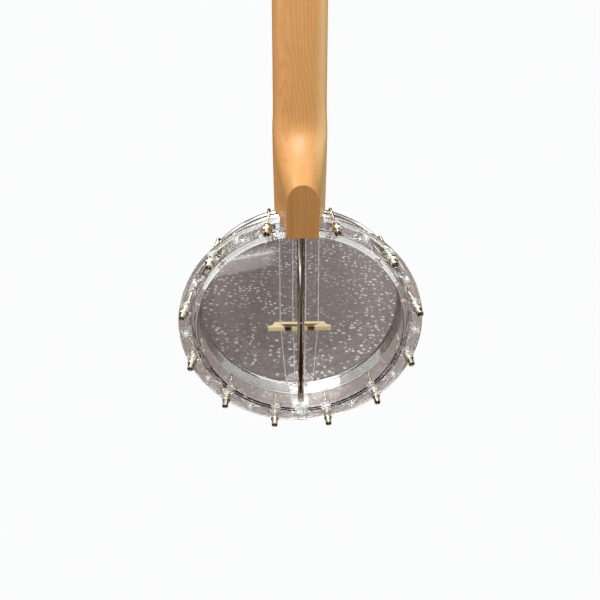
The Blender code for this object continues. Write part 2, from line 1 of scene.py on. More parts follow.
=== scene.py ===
"""The looks of a clear-pot banjo ukulele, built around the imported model.

Shapes are drawn in millimetres in one of three working frames, and the matrices
POT, HEADSTOCK and tuner_place() carry them into the model's frame. In the pot's
frame the origin is the centre of the pot, -Y is out of the drum head and +Z is
up the neck.
"""

import math

import bmesh
import bpy
import numpy as np
from mathutils import Matrix, Vector


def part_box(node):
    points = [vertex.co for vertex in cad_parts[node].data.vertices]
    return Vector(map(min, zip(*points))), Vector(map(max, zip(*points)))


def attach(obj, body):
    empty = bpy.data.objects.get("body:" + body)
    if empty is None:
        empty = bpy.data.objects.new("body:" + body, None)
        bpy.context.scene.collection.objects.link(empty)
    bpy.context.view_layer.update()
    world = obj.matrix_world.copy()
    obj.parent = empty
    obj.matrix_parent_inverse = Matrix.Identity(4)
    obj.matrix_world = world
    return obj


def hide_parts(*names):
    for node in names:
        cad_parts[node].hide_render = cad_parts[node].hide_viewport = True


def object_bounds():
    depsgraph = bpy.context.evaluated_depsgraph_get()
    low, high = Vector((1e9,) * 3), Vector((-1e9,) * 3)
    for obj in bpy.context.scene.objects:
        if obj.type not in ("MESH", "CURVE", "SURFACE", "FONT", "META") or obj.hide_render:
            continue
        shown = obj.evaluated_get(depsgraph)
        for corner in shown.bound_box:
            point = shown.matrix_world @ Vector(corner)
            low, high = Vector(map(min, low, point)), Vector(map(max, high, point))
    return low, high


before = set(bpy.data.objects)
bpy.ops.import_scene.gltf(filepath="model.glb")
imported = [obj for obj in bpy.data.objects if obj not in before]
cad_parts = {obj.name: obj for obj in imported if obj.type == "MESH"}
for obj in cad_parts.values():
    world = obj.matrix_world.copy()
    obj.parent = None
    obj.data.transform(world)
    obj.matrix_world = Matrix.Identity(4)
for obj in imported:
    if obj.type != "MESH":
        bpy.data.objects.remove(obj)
cad_low, cad_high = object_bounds()

MM = 0.001
GAP = 0.3
TILT = math.radians(10)

# The pot's centre, half way up the head and in the middle of the model's depth axis.
head_low, head_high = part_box("head")
CENTRE = Vector(((head_low.x + head_high.x) / 2, 0.0, (head_low.z + head_high.z) / 2))
POT = Matrix.Translation(CENTRE) @ Matrix.Scale(MM, 4)


def reach(node):
    """A CAD node's lowest and highest corners in millimetres from the pot's centre."""
    low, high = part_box(node)
    return (low - CENTRE) / MM, (high - CENTRE) / MM


rim_low, rim_high = reach("rim")
film_low, film_high = reach("head")
hoop_low, hoop_high = reach("tension_hoop")
flesh_low, flesh_high = reach("flesh_hoop")
board_low, board_high = reach("fingerboard")
nut_low, nut_high = reach("string_nut")
rod_low, rod_high = reach("coordinator_rod")
bridge_low, bridge_high = reach("bridge")
heel_high = reach("neck")[1]
hook_high = reach("hook_01")[1]
washer_low, washer_high = reach("tail_washer")
bolt_low, bolt_high = reach("tail_bolt")

# Pot
STEPS = 288                 # faces around each large ring
SHELL_R = 101.3
SHELL_BORE_R = 98.0
BACK_LIP_R = 94.3
SHELL_BACK_Y = 20.6
FLANGE_R = -rim_low.z
FLANGE_RING_R = 108.4
WEB_FRONT_Y = 16.8
WEB_BACK_Y = 20.0
PANE = 1.0                  # left at the front of the recesses between the struts
HEEL_NOTCH = 9.0            # degrees either side of the neck
BRACKETS = 12
BRACKET_R = 106.0
FIRST_BRACKET = 15.0
HOOK_R = 1.3
HOOK_HOLE_R = 1.75
LUG_HALF_ANGLE = 3.1        # degrees
LUG_CAP_R = 3.3
NUT_SEAT_Y = 19.8
NUT_POCKET_R = 4.55
BOSS_R = 2.3
BOSS_HOLE_R = 1.15
STRUT_FOOT = 5.4            # degrees from the boss, where a strut meets the shell
STRUT_TIP = 0.85
STRUT_HALF_WIDTH = 0.7
BOLT_HOLE_R = 2.4
FILM = 0.35

# Neck
NECK_FRONT_Y = -28.5
NECK_TOP_Z = 357.0
HEEL_CAP_Y = heel_high.y
HEEL_INNER_Y = -14.0
HEEL_HALF_WIDTH = 12.1
HEEL_TOP_Z = 142.0
HEEL_RISE = 50.0
HEEL_SPREAD = 8.2
HEEL_SPREAD_POWER = 1.8
HEEL_ARCH = 1.15            # height of the arch over its half width
POT_HALF_WIDTH = 22.0
NUT_HALF_WIDTH = 18.0
TAPER_START_Z = 150.0
HEADSTOCK = POT @ Matrix.Translation((0, NECK_FRONT_Y, NECK_TOP_Z)) @ Matrix.Rotation(-TILT, 4, "X")
HEADSTOCK_LENGTH = 113.0
HEADSTOCK_HALF_WIDTH = 31.0
HEADSTOCK_THICKNESS = 12.0
CROWN = 16.0
NECK_THICK = 19.0
NECK_THIN = 14.0
POST_X = 19.0
POST_Z = (38.0, 78.0)

# Strings and frets
SCALE_LENGTH = 381.0
NUT_FRONT_Z = nut_low.z
BRIDGE_Z = (bridge_low.z + bridge_high.z) / 2
STRING_R = 0.4
BRIDGE_SPREAD = 40.8
NUT_SPREAD = 28.0
TAIL_SPREAD = 32.0
FRETS = 17

# Rod
ROD_Y = 7.0
ROD_R = (rod_high.x - rod_low.x) / 2

# Tuning machine, on its post's axis: +X outboard, +Y behind the headstock
POST_R = 2.6
GEAR_R = 4.6
GEAR_BACK = (14.4, 17.0)
GEAR_TEETH = 14
WORM_R = 2.1
WORM_Y = 15.7
WORM_Z = GEAR_R + WORM_R + 0.2
SHAFT_R = 1.2


# ---------------------------------------------------------------- shapes

def rounded(corners, radius, steps=4, closed=True):
    """An outline with arcs at its corners. A third number gives a corner its own radius."""
    points = []
    for index, corner in enumerate(corners):
        here = Vector(corner[:2])
        arc = corner[2] if len(corner) > 2 else radius
        end = index in (0, len(corners) - 1) and not closed
        if arc <= 0 or end:
            points.append(tuple(here))
            continue
        before = (Vector(corners[index - 1][:2]) - here).normalized()
        after = (Vector(corners[(index + 1) % len(corners)][:2]) - here).normalized()
        half = before.angle(after) / 2
        middle = here + (before + after).normalized() * (arc / math.sin(half))
        first = here + before * (arc / math.tan(half)) - middle
        last = here + after * (arc / math.tan(half)) - middle
        start = math.atan2(first.y, first.x)
        sweep_angle = (math.atan2(last.y, last.x) - start + math.pi) % math.tau - math.pi
        for step in range(steps + 1):
            angle = start + sweep_angle * step / steps
            points.append((middle.x + arc * math.cos(angle), middle.y + arc * math.sin(angle)))
    return points


def grown(outline, distance):
    """The outline moved out along its corners' bisectors. It runs anticlockwise."""
    points = []
    for index, point in enumerate(outline):
        here = Vector(point)
        into = (here - Vector(outline[index - 1])).normalized()
        out = (Vector(outline[(index + 1) % len(outline)]) - here).normalized()
        side = Vector((into.y + out.y, -into.x - out.x))
        if side.length < 1e-6:
            side = Vector((into.y, -into.x))
        side.normalize()
        lean = max(side.dot(Vector((into.y, -into.x))), 0.5)
        points.append(tuple(here + side * distance / lean))
    return points


def lathe(shape, profile, steps, closed=True):
    """Turns (radius, y) points about Y. A radius of 0 makes a pole."""
    rows = []
    for radius, y in profile:
        if radius < 1e-6:
            rows.append([shape.verts.new((0, y, 0))] * steps)
            continue
        angles = [math.tau * step / steps for step in range(steps)]
        rows.append([shape.verts.new((radius * math.sin(a), y, radius * math.cos(a))) for a in angles])
    pairs = list(zip(rows, rows[1:]))
    if closed:
        pairs.append((rows[-1], rows[0]))
    for low, high in pairs:
        for step in range(steps):
            after = (step + 1) % steps
            face = list(dict.fromkeys((low[step], low[after], high[after], high[step])))
            if len(face) > 2:
                shape.faces.new(face)


def loft(shape, sections):
    """Skins closed sections that have the same number of points, and caps the ends."""
    loops = [[shape.verts.new(point) for point in section] for section in sections]
    for low, high in zip(loops, loops[1:]):
        for index in range(len(low)):
            after = (index + 1) % len(low)
            shape.faces.new((low[index], low[after], high[after], high[index]))
    shape.faces.new(list(reversed(loops[0])))
    shape.faces.new(loops[-1])


def slab(shape, outline, low, high, edge=0.0):
    """An (x, z) outline with thickness along Y and eased edges."""
    if edge <= 0:
        layers = [(low, 0.0), (high, 0.0)]
    else:
        ease = edge * (1 - math.sqrt(0.5))
        layers = [(low, -edge), (low + ease, -ease), (low + edge, 0.0),
                  (high - edge, 0.0), (high - ease, -ease), (high, -edge)]
    loft(shape, [[(x, y, z) for x, z in grown(outline, by)] for y, by in layers])


def sweep(shape, path, radius, sides=14):
    """A wire along a path. radius is a number, one for each point, or f(index, angle)."""
    path = [Vector(point) for point in path]
    tangents = [(path[min(i + 1, len(path) - 1)] - path[max(i - 1, 0)]).normalized()
                for i in range(len(path))]
    normal = tangents[0].orthogonal().normalized()
    loops = []
    for index, (point, tangent) in enumerate(zip(path, tangents)):
        normal = (normal - tangent * normal.dot(tangent)).normalized()
        across = tangent.cross(normal)
        loop = []
        for side in range(sides):
            angle = math.tau * side / sides
            if callable(radius):
                size = radius(index, angle)
            else:
                size = radius[index] if hasattr(radius, "__len__") else radius
            loop.append(point + (normal * math.cos(angle) + across * math.sin(angle)) * size)
        loops.append(loop)
    loft(shape, loops)


def rod(shape, start, end, radius, steps=24):
    sweep(shape, [start, end], radius, steps)


def hexagon(angle, radius):
    """Distance from the middle to the side of a hexagon of that corner radius."""
    return radius * math.cos(math.pi / 6) / math.cos((angle % (math.pi / 3)) - math.pi / 6)


def hex_nut(shape, bore, radius, low, high, steps=48):
    """A nut along Y with a round bore and chamfered corners."""
    edge = 0.14 * radius
    face = radius * 0.9
    rows = [(low, lambda a: bore), (low, lambda a: min(face, hexagon(a, radius))),
            (low + edge, lambda a: hexagon(a, radius)), (high - edge, lambda a: hexagon(a, radius)),
            (high, lambda a: min(face, hexagon(a, radius))), (high, lambda a: bore)]
    loops = []
    for y, size in rows:
        angles = [math.tau * step / steps for step in range(steps)]
        loops.append([shape.verts.new((size(a) * math.sin(a), y, size(a) * math.cos(a))) for a in angles])
    for low_loop, high_loop in zip(loops, loops[1:] + loops[:1]):
        for step in range(steps):
            after = (step + 1) % steps
            shape.faces.new((low_loop[step], low_loop[after], high_loop[after], high_loop[step]))


def polar(radius, degrees):
    """The (x, z) of a point on the pot, by its angle from the neck."""
    angle = math.radians(degrees)
    return (radius * math.sin(angle), radius * math.cos(angle))


def turned_to(degrees):
    """Carries a shape drawn at the top of the pot round to another angle."""
    return POT @ Matrix.Rotation(math.radians(degrees), 4, "Y")


def smoothstep(value):
    value = np.clip(value, 0.0, 1.0)
    return value * value * (3 - 2 * value)


# ---------------------------------------------------------------- pieces

def piece(name, shape, place, material, sharp=35):
    """A bmesh in a working frame becomes an object in the model's frame."""
    shape.transform(place)
    bmesh.ops.recalc_face_normals(shape, faces=shape.faces)
    mesh = bpy.data.meshes.new(name)
    shape.to_mesh(mesh)
    shape.free()
    mesh.materials.append(material)
    thing = bpy.data.objects.new(name, mesh)
    bpy.context.scene.collection.objects.link(thing)
    shade(thing, sharp)
    return thing


def shade(thing, sharp):
    """Smooth, with flat faces kept flat beside their rounded edges."""
    thing.data.shade_smooth()
    thing.data.set_sharp_from_angle(angle=math.radians(sharp))
    if sharp < 50 and "flat faces" not in thing.modifiers:
        thing.modifiers.new("flat faces", "WEIGHTED_NORMAL").keep_sharp = True


def carve(thing, shape, place, operation="DIFFERENCE", sharp=35):
    """Cuts a piece with a shape, or joins the shape to it, and keeps only the result."""
    tool = piece("tool", shape, place, thing.data.materials[0])
    thing.modifiers.clear()
    modifier = thing.modifiers.new("tool", "BOOLEAN")
    modifier.operation = operation
    modifier.object = tool
    modifier.solver = "EXACT"
    bpy.context.view_layer.update()
    before = thing.data
    graph = bpy.context.evaluated_depsgraph_get()
    thing.data = bpy.data.meshes.new_from_object(thing.evaluated_get(graph))
    thing.modifiers.clear()
    thing.data.name = thing.name
    bpy.data.meshes.remove(before)
    spent = tool.data
    bpy.data.objects.remove(tool)
    bpy.data.meshes.remove(spent)
    shade(thing, sharp)


def show(thing, body, slot, *nodes):
    """Puts a piece on its body and hides the CAD nodes it stands for. slot, its finish, is not used."""
    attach(thing, body)
    if nodes:
        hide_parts(*nodes)
    return thing


# ---------------------------------------------------------------- materials

def add_node(tree, kind, inputs=None, **settings):
    made = tree.nodes.new(kind)
    for key, value in settings.items():
        setattr(made, key, value)
    for key, value in (inputs or {}).items():
        if isinstance(value, bpy.types.NodeSocket):
            tree.links.new(value, made.inputs[key])
        else:
            made.inputs[key].default_value = value
    return made


def maths(tree, operation, first, second=0.0):
    return add_node(tree, "ShaderNodeMath", {0: first, 1: second}, operation=operation).outputs[0]


def noise(tree, place, stretch, detail=3.0, roughness=0.55, distortion=0.0):
    """Noise with stretch cells to the metre, which may differ along X, Y and Z."""
    cells = stretch if hasattr(stretch, "__len__") else (stretch,) * 3
    scaled = add_node(tree, "ShaderNodeMapping", {"Vector": place, "Scale": cells})
    inputs = {"Vector": scaled.outputs[0], "Scale": 1.0, "Detail": detail,
              "Roughness": roughness, "Distortion": distortion}
    return add_node(tree, "ShaderNodeTexNoise", inputs).outputs["Fac"]


def ramp(tree, value, stops):
    """Colours along a value. Each stop is (position, colour or grey)."""
    made = add_node(tree, "ShaderNodeValToRGB", {"Fac": value})
    points = made.color_ramp.elements
    while len(points) < len(stops):
        points.new(0.5)
    for point, (position, colour) in zip(points, stops):
        point.position = position
        grey = not hasattr(colour, "__len__")
        point.color = (colour, colour, colour, 1.0) if grey else (*colour, 1.0)
    return made.outputs[0]


def blend(tree, factor, first, second, mode="MIX"):
    inputs = {"Factor": factor, 6: first, 7: second}
    made = add_node(tree, "ShaderNodeMix", inputs, data_type="RGBA", blend_type=mode)
    return made.outputs[2]


def bump(tree, height, strength, distance):
    inputs = {"Height": height, "Strength": strength, "Distance": distance}
    return add_node(tree, "ShaderNodeBump", inputs).outputs[0]


def new_material(name, roughness, metallic=0.0, **sockets):
    """A material with its shader, its tree and the point on the object in metres."""
    material = bpy.data.materials.new(name)
    material.use_nodes = True
    tree = material.node_tree
    shader = tree.nodes["Principled BSDF"]
    shader.inputs["Metallic"].default_value = metallic
    shader.inputs["Roughness"].default_value = roughness
    for key, value in sockets.items():
        shader.inputs[key.replace("_", " ")].default_value = value
    place = add_node(tree, "ShaderNodeTexCoord").outputs["Object"]
    return material, tree, shader, place


def feed(tree, shader, **sockets):
    """Links values to a shader's sockets. A name has _ for each space."""
    for key, value in sockets.items():
        tree.links.new(value, shader.inputs[key.replace("_", " ")])


def shaded(colour, share):
    return tuple(channel * share for channel in colour)


def metal(name, colour, roughness, wear=0.08, tarnish=0.82, peel=0.06):
    """Plated metal with cloudy tarnish, fine scratches and a soft orange-peel."""
    material, tree, shader, place = new_material(name, roughness, 1.0)
    cloud = noise(tree, place, 90, 4)
    scratch = noise(tree, place, (2600, 2600, 260), 2)
    skin = noise(tree, place, 520, 2)
    feed(tree, shader,
         Base_Color=ramp(tree, cloud, [(0.3, shaded(colour, tarnish)), (0.7, colour)]),
         Roughness=ramp(tree, scratch, [(0.35, roughness), (0.8, roughness + wear)]),
         Normal=bump(tree, skin, peel, 0.0003))
    return material


def clear_plastic(name, colour, roughness, waviness, ior=1.585):
    """Moulded clear plastic: flow lines ripple it and handling dulls it. Its convex edges carry a painted
    highlight: they turn partly diffuse white.

    Lamps shine through it.
    """
    material, tree, shader, place = new_material(
        name, roughness, Transmission_Weight=1.0, IOR=ior)
    cloud = noise(tree, place, 60, 2)
    smear = noise(tree, place, 180, 4)
    # Painted highlight: where the surface is convex, transmission drops and the edge shows diffuse white.
    edges = add_node(tree, "ShaderNodeNewGeometry").outputs["Pointiness"]
    flow = noise(tree, place, (130, 40, 130), 2)
    feed(tree, shader,
         Base_Color=ramp(tree, cloud, [(0.3, shaded(colour, 0.97)), (0.7, colour)]),
         Roughness=ramp(tree, smear, [(0.4, roughness), (0.75, roughness * 2.6)]),
         Transmission_Weight=ramp(tree, edges, [(0.53, 1.0), (0.58, 0.40)]),
         Normal=bump(tree, flow, waviness, 0.0006))
    lamp = add_node(tree, "ShaderNodeLightPath").outputs["Is Shadow Ray"]
    clear = add_node(tree, "ShaderNodeBsdfTransparent", {"Color": (0.93, 0.94, 0.93, 1.0)}).outputs[0]
    mixed = add_node(tree, "ShaderNodeMixShader", {0: lamp, 1: shader.outputs[0], 2: clear}).outputs[0]
    tree.links.new(mixed, tree.nodes["Material Output"].inputs["Surface"])
    return material


def smooth_range(tree, value, low, high, to_low=0.0, to_high=1.0):
    inputs = {"Value": value, "From Min": low, "From Max": high, "To Min": to_low, "To Max": to_high}
    return add_node(tree, "ShaderNodeMapRange", inputs, interpolation_type="SMOOTHSTEP").outputs[0]


def pointed_arches(tree, parts, middle_x, width, low_z, high_z, low, high):
    """A ridge up the board that lifts the growth rings by less and less."""
    off = maths(tree, "DIVIDE", maths(tree, "SUBTRACT", parts["X"], middle_x), width)
    hump = maths(tree, "EXPONENT", maths(tree, "MULTIPLY", maths(tree, "MULTIPLY", off, off), -1.0))
    return maths(tree, "MULTIPLY", hump, smooth_range(tree, parts["Z"], low_z, high_z, low, high))


def maple(name, light, dark, grain, ring, fibres, sway=None, swirl=None, cap_y=None, sap_x=None):
    """Maple whose growth rings are stacked along grain, with fibres at right angles to it.

    sway is (low z, high z, shift) of a bend in the grain across the board, and swirl
    what pointed_arches() takes. cap_y is the depth of the heel's darker cut face, and
    sap_x where the pale band along one edge starts and is at its palest.
    """
    material, tree, shader, place = new_material(name, 0.42, Coat_Weight=0.15, Coat_Roughness=0.35)
    parts = add_node(tree, "ShaderNodeSeparateXYZ", {"Vector": place}).outputs
    axes = [maths(tree, "MULTIPLY", parts[axis], weight) for axis, weight in zip("XYZ", grain)]
    layers = maths(tree, "ADD", maths(tree, "ADD", axes[0], axes[1]), axes[2])
    if sway:
        bend = smooth_range(tree, parts["Z"], sway[0], sway[1], 0.0, sway[2])
        layers = maths(tree, "ADD", layers, bend)
    if swirl:
        layers = maths(tree, "ADD", layers, pointed_arches(tree, parts, *swirl))
    drift = noise(tree, place, (48, 48, 8), 3, 0.5, 0.5)
    wander = maths(tree, "MULTIPLY", maths(tree, "SUBTRACT", drift, 0.5), ring * 4.0)
    rings = maths(tree, "FRACT", maths(tree, "DIVIDE", maths(tree, "ADD", layers, wander), ring))
    growth = ramp(tree, rings, [(0.0, 0.30), (0.25, 0.0), (0.70, 0.30), (0.90, 1.0), (1.0, 0.30)])
    fibre = noise(tree, place, fibres, 4, 0.7)
    streak = ramp(tree, fibre, [(0.34, 0.0), (0.70, 1.0)])
    figure = noise(tree, place, (70, 70, 160), 2, 0.5, 0.8)
    patchy = ramp(tree, noise(tree, place, (34, 34, 16), 2), [(0.35, 0.50), (0.65, 1.0)])
    tone = maths(tree, "ADD", maths(tree, "MULTIPLY", maths(tree, "MULTIPLY", growth, patchy), 0.38),
                 maths(tree, "MULTIPLY", streak, 0.22))
    tone = maths(tree, "ADD", tone, maths(tree, "MULTIPLY", figure, 0.24))
    colour = blend(tree, tone, (*light, 1.0), (*dark, 1.0))
    broad = ramp(tree, noise(tree, place, (75, 75, 6), 2), [(0.35, (1.0, 0.93, 0.86)), (0.65, 1.0)])
    colour = blend(tree, 1.0, colour, broad, "MULTIPLY")
    if sap_x is not None:
        sap = maths(tree, "MULTIPLY", smooth_range(tree, parts["X"], *sap_x), 0.75)
        colour = blend(tree, sap, colour, (0.76, 0.50, 0.21, 1.0))
    if cap_y is not None:
        near = smooth_range(tree, parts["Y"], cap_y - 0.0010, cap_y - 0.0003)
        stripe = noise(tree, place, (700, 200, 12), 3)
        darker = ramp(tree, stripe, [(0.3, (0.62, 0.57, 0.42)), (0.7, (0.74, 0.69, 0.53))])
        colour = blend(tree, near, colour, blend(tree, 1.0, colour, darker, "MULTIPLY"))
    feed(tree, shader, Base_Color=colour, Roughness=ramp(tree, fibre, [(0.3, 0.38), (0.8, 0.52)]),
         Normal=bump(tree, streak, 0.10, 0.0001))
    return material


def drum_film(name):
    """Thin clear film: it mirrors like glass, and what is behind it shows unbent."""
    material, tree, shader, place = new_material(name, 0.02)
    tree.nodes.remove(shader)
    smear = noise(tree, place, 60, 4, 0.6, 0.6)
    tint = ramp(tree, smear, [(0.3, (0.955, 0.95, 0.95)), (0.7, (0.985, 0.98, 0.98))])
    clear = add_node(tree, "ShaderNodeBsdfTransparent", {"Color": tint}).outputs[0]
    ripple = bump(tree, noise(tree, place, 45, 2), 0.05, 0.0006)
    mirror = add_node(tree, "ShaderNodeBsdfGlossy", {
        "Color": (0.95, 0.95, 0.96, 1.0), "Normal": ripple,
        "Roughness": ramp(tree, smear, [(0.4, 0.015), (0.75, 0.05)])}).outputs[0]
    # Light isn't bent by this film, so its far side mustn't mirror like the inside of glass.
    inside = add_node(tree, "ShaderNodeNewGeometry").outputs["Backfacing"]
    ior = maths(tree, "POWER", 1.55, maths(tree, "SUBTRACT", 1.0, maths(tree, "MULTIPLY", inside, 2.0)))
    fresnel = add_node(tree, "ShaderNodeFresnel", {"IOR": ior}).outputs[0]
    mixed = add_node(tree, "ShaderNodeMixShader", {0: fresnel, 1: clear, 2: mirror}).outputs[0]
    tree.links.new(mixed, tree.nodes["Material Output"].inputs["Surface"])
    return material


def dark_board(name):
    """Dark open-pored wood."""
    material, tree, shader, place = new_material(name, 0.4)
    pores = noise(tree, place, (1800, 1800, 60), 4, 0.65)
    bands = noise(tree, place, (160, 160, 9), 3, distortion=0.8)
    brown = ramp(tree, bands, [(0.3, (0.022, 0.012, 0.008)), (0.7, (0.085, 0.042, 0.024))])
    feed(tree, shader,
         Base_Color=blend(tree, 1.0, brown, ramp(tree, pores, [(0.35, 0.45), (0.6, 1.0)]), "MULTIPLY"),
         Roughness=ramp(tree, pores, [(0.3, 0.62), (0.6, 0.36)]),
         Normal=bump(tree, pores, 0.25, 0.0001))
    return material


def cloudy(name, pale, deep, scale, roughness, **sockets):
    """Bone, pearl, nylon and moulded cream: two tones in soft clouds."""
    material, tree, shader, place = new_material(name, roughness, **sockets)
    cloud = noise(tree, place, scale, 4, distortion=0.8)
    fine = noise(tree, place, 1500, 2)
    feed(tree, shader, Base_Color=ramp(tree, cloud, [(0.3, deep), (0.7, pale)]),
         Roughness=ramp(tree, fine, [(0.3, roughness), (0.8, roughness + 0.12)]),
         Normal=bump(tree, fine, 0.05, 0.0001))
    return material


def make_materials():
    return {
        "rim": clear_plastic("clear_plastic", (0.985, 0.99, 0.985), 0.012, 0.30),
        "film": drum_film("drum_film"),
        "tailpiece": clear_plastic("clear_tailpiece", (0.97, 0.975, 0.98), 0.02, 0.25),
        "hoop": metal("hoop_chrome", (0.80, 0.79, 0.77), 0.05, peel=0.02),
        "flesh": metal("satin_aluminium", (0.80, 0.80, 0.79), 0.28),
        "hook": metal("warm_nickel", (0.83, 0.74, 0.55), 0.10, peel=0.03),
        "nut": metal("nut_nickel", (0.72, 0.66, 0.56), 0.05, 0.06, 0.7, 0.02),
        # Painted shade: the rod's chrome is given a dark brown colour in place of the dark reflections it
        # shows.
        "rod": metal("rod_chrome", (0.44, 0.38, 0.34), 0.06, peel=0.02),
        "steel": metal("fastener_steel", (0.72, 0.71, 0.69), 0.24),
        "tuner": metal("tuner_nickel", (0.78, 0.76, 0.72), 0.13),
        "fret": metal("fret_wire", (0.76, 0.75, 0.72), 0.18),
        "maple": maple("neck_maple", (0.70, 0.365, 0.120), (0.40, 0.165, 0.040), (-1.0, 0.45, 0.02), 0.0028,
                       (1300, 1300, 22), (CENTRE.z + 0.170, CENTRE.z + 0.240, 0.010),
                       (0.0175, 0.005, CENTRE.z + 0.14, CENTRE.z + 0.32, 0.012, 0.003),
                       CENTRE.y + HEEL_CAP_Y * MM, (-0.009, -0.018)),
        "bridge": maple("bridge_maple", (0.98, 0.86, 0.54), (0.80, 0.58, 0.27), (0.05, 1.0, 0.5), 0.0012,
                        (40, 1300, 1300)),
        "board": dark_board("fingerboard_wood"),
        "bone": cloudy("nut_bone", (0.86, 0.82, 0.71), (0.76, 0.70, 0.57), 220, 0.38),
        "pearl": cloudy("dot_pearl", (0.90, 0.90, 0.87), (0.66, 0.70, 0.71), 700, 0.2),
        "nylon": cloudy("string_nylon", (0.98, 0.98, 0.97), (0.92, 0.92, 0.90), 300, 0.22),
        "cream": cloudy("button_cream", (0.90, 0.85, 0.72), (0.80, 0.72, 0.56), 260, 0.2,
                        Coat_Weight=0.4, Coat_Roughness=0.08),
    }


# ---------------------------------------------------------------- pot

def bracket_angles():
    return [FIRST_BRACKET + 360.0 * index / BRACKETS for index in range(BRACKETS)]


def flange_recesses(middle):
    """Outlines of the recesses under a boss's two struts and either side of them."""
    inner, outer = SHELL_R + 0.9, FLANGE_RING_R - 0.8
    wedge = [polar(inner, middle - 3.6), polar(inner, middle + 3.6), polar(inner + 1.8, middle)]
    yield rounded(wedge, 0.3, 2)
    for side in (-1, 1):
        corners = [polar(inner, middle + side * 7.0), polar(outer, middle + side * 3.0),
                   polar(outer, middle + side * 11.0), polar(inner, middle + side * 11.0)]
        yield rounded(corners, 0.9, 3)


def strut(middle, side):
    """The outline of one of the two bars from the shell to a boss."""
    start = Vector(polar(SHELL_R - 0.5, middle + side * STRUT_FOOT))
    end = Vector(polar(BRACKET_R - 0.9, middle + side * STRUT_TIP))
    along = (end - start).normalized() * STRUT_HALF_WIDTH
    wide = Vector((along.y, -along.x))
    return [tuple(corner) for corner in (start - wide, start + wide, end + wide, end - wide)]


def bracket_lug(bracket):
    """The outline of the lug that a hook passes through."""
    x, z = polar(BRACKET_R, bracket)
    cap = [(x + LUG_CAP_R * math.sin(a), z + LUG_CAP_R * math.cos(a))
           for a in (math.radians(bracket + 90 - 15 * step) for step in range(13))]
    sides = [polar(SHELL_R - 0.8, bracket - LUG_HALF_ANGLE), polar(SHELL_R - 0.8, bracket + LUG_HALF_ANGLE)]
    return (sides + cap)[::-1]


def make_rim(material):
    """The one-piece clear shell with its flange of lugs, bosses and struts."""
    back = rim_high.y
    ring_front = 15.8
    profile = rounded([
        (SHELL_BORE_R, rim_low.y, 1.4), (SHELL_R, rim_low.y, 1.4), (SHELL_R, WEB_FRONT_Y, 0.9),
        (FLANGE_RING_R, WEB_FRONT_Y, 0.5), (FLANGE_RING_R, ring_front, 0.4),
        (FLANGE_R, ring_front, 1.0), (FLANGE_R, back, 1.0), (FLANGE_RING_R, back, 0.6),
        (FLANGE_RING_R, WEB_BACK_Y, 0.6), (SHELL_R, WEB_BACK_Y, 0.28),
        (SHELL_R, SHELL_BACK_Y, 0.25), (100.2, SHELL_BACK_Y, 0.2), (100.0, 19.9, 0.2),
        (99.3, 19.9, 0.2), (99.1, SHELL_BACK_Y, 0.2), (97.9, SHELL_BACK_Y, 0.2), (97.7, 21.2, 0.25),
        (96.7, 21.2, 0.25), (96.5, SHELL_BACK_Y, 0.2), (BACK_LIP_R, SHELL_BACK_Y, 1.0),
        (BACK_LIP_R, 16.5, 1.0), (SHELL_BORE_R, 11.5, 1.6)], 0.5, 3)
    shape = bmesh.new()
    lathe(shape, profile, STEPS)
    rim = piece("clear_rim", shape, POT, material)

    behind = back + 2
    cuts, bosses, struts, holes, bolt_holes = (bmesh.new() for _ in range(5))
    for bracket in bracket_angles():
        x, z = polar(BRACKET_R, bracket)
        rod(cuts, (x, NUT_SEAT_Y, z), (x, behind, z), NUT_POCKET_R, 36)
        slab(bosses, bracket_lug(bracket), 12.6, WEB_FRONT_Y + 0.4, 0.4)
        rod(holes, (x, 10, z), (x, behind, z), HOOK_HOLE_R, 24)
    for middle in range(30, 360, 30):
        x, z = polar(BRACKET_R - 0.4, middle)
        rod(bosses, (x, 15.2, z), (x, 21.4, z), BOSS_R, 28)
        rod(holes, (x, 14.1, z), (x, behind + 0.3, z), BOSS_HOLE_R, 20)
        for recess in flange_recesses(middle):
            slab(cuts, recess, WEB_FRONT_Y + PANE, behind)
        for side in (-1, 1):
            slab(struts, strut(middle, side), 15.9, 21.0, 0.35)
    notch = [polar(SHELL_R + 0.2, HEEL_NOTCH * step / 8) for step in range(-8, 9)]
    notch += [polar(FLANGE_R + 3, HEEL_NOTCH), polar(FLANGE_R + 3, -HEEL_NOTCH)]
    slab(cuts, notch, ring_front - 4, behind)
    rod(bosses, (0, ROD_Y, -SHELL_R + 1.5), (0, ROD_Y, -104.6), 8.5, 48)
    rod(bolt_holes, (0, ROD_Y, SHELL_BORE_R - 6), (0, ROD_Y, SHELL_R + 4), BOLT_HOLE_R)
    rod(bolt_holes, (0, ROD_Y, 6 - SHELL_BORE_R), (0, ROD_Y, -109), BOLT_HOLE_R)
    carve(rim, cuts, POT)
    carve(rim, bosses, POT, "UNION")
    carve(rim, struts, POT, "UNION")
    carve(rim, holes, POT)
    carve(rim, bolt_holes, POT)
    show(rim, "root", "clear_plastic", "rim")


def make_head(material):
    """The drum film over the shell's edge, with its skirt down to the flesh hoop."""
    front, back, outside = film_low.y, film_high.y, film_high.x
    inside = outside - FILM
    shape = bmesh.new()
    profile = rounded([(0, front), (outside, front, 1.0), (outside, back), (inside, back, 0.0),
                       (inside, front + FILM, 0.65), (0, front + FILM)], 0.0, 4, closed=False)
    lathe(shape, profile, STEPS, closed=False)
    film = piece("drum_film", shape, POT, material)
    show(film, "root", "head_film", "head")


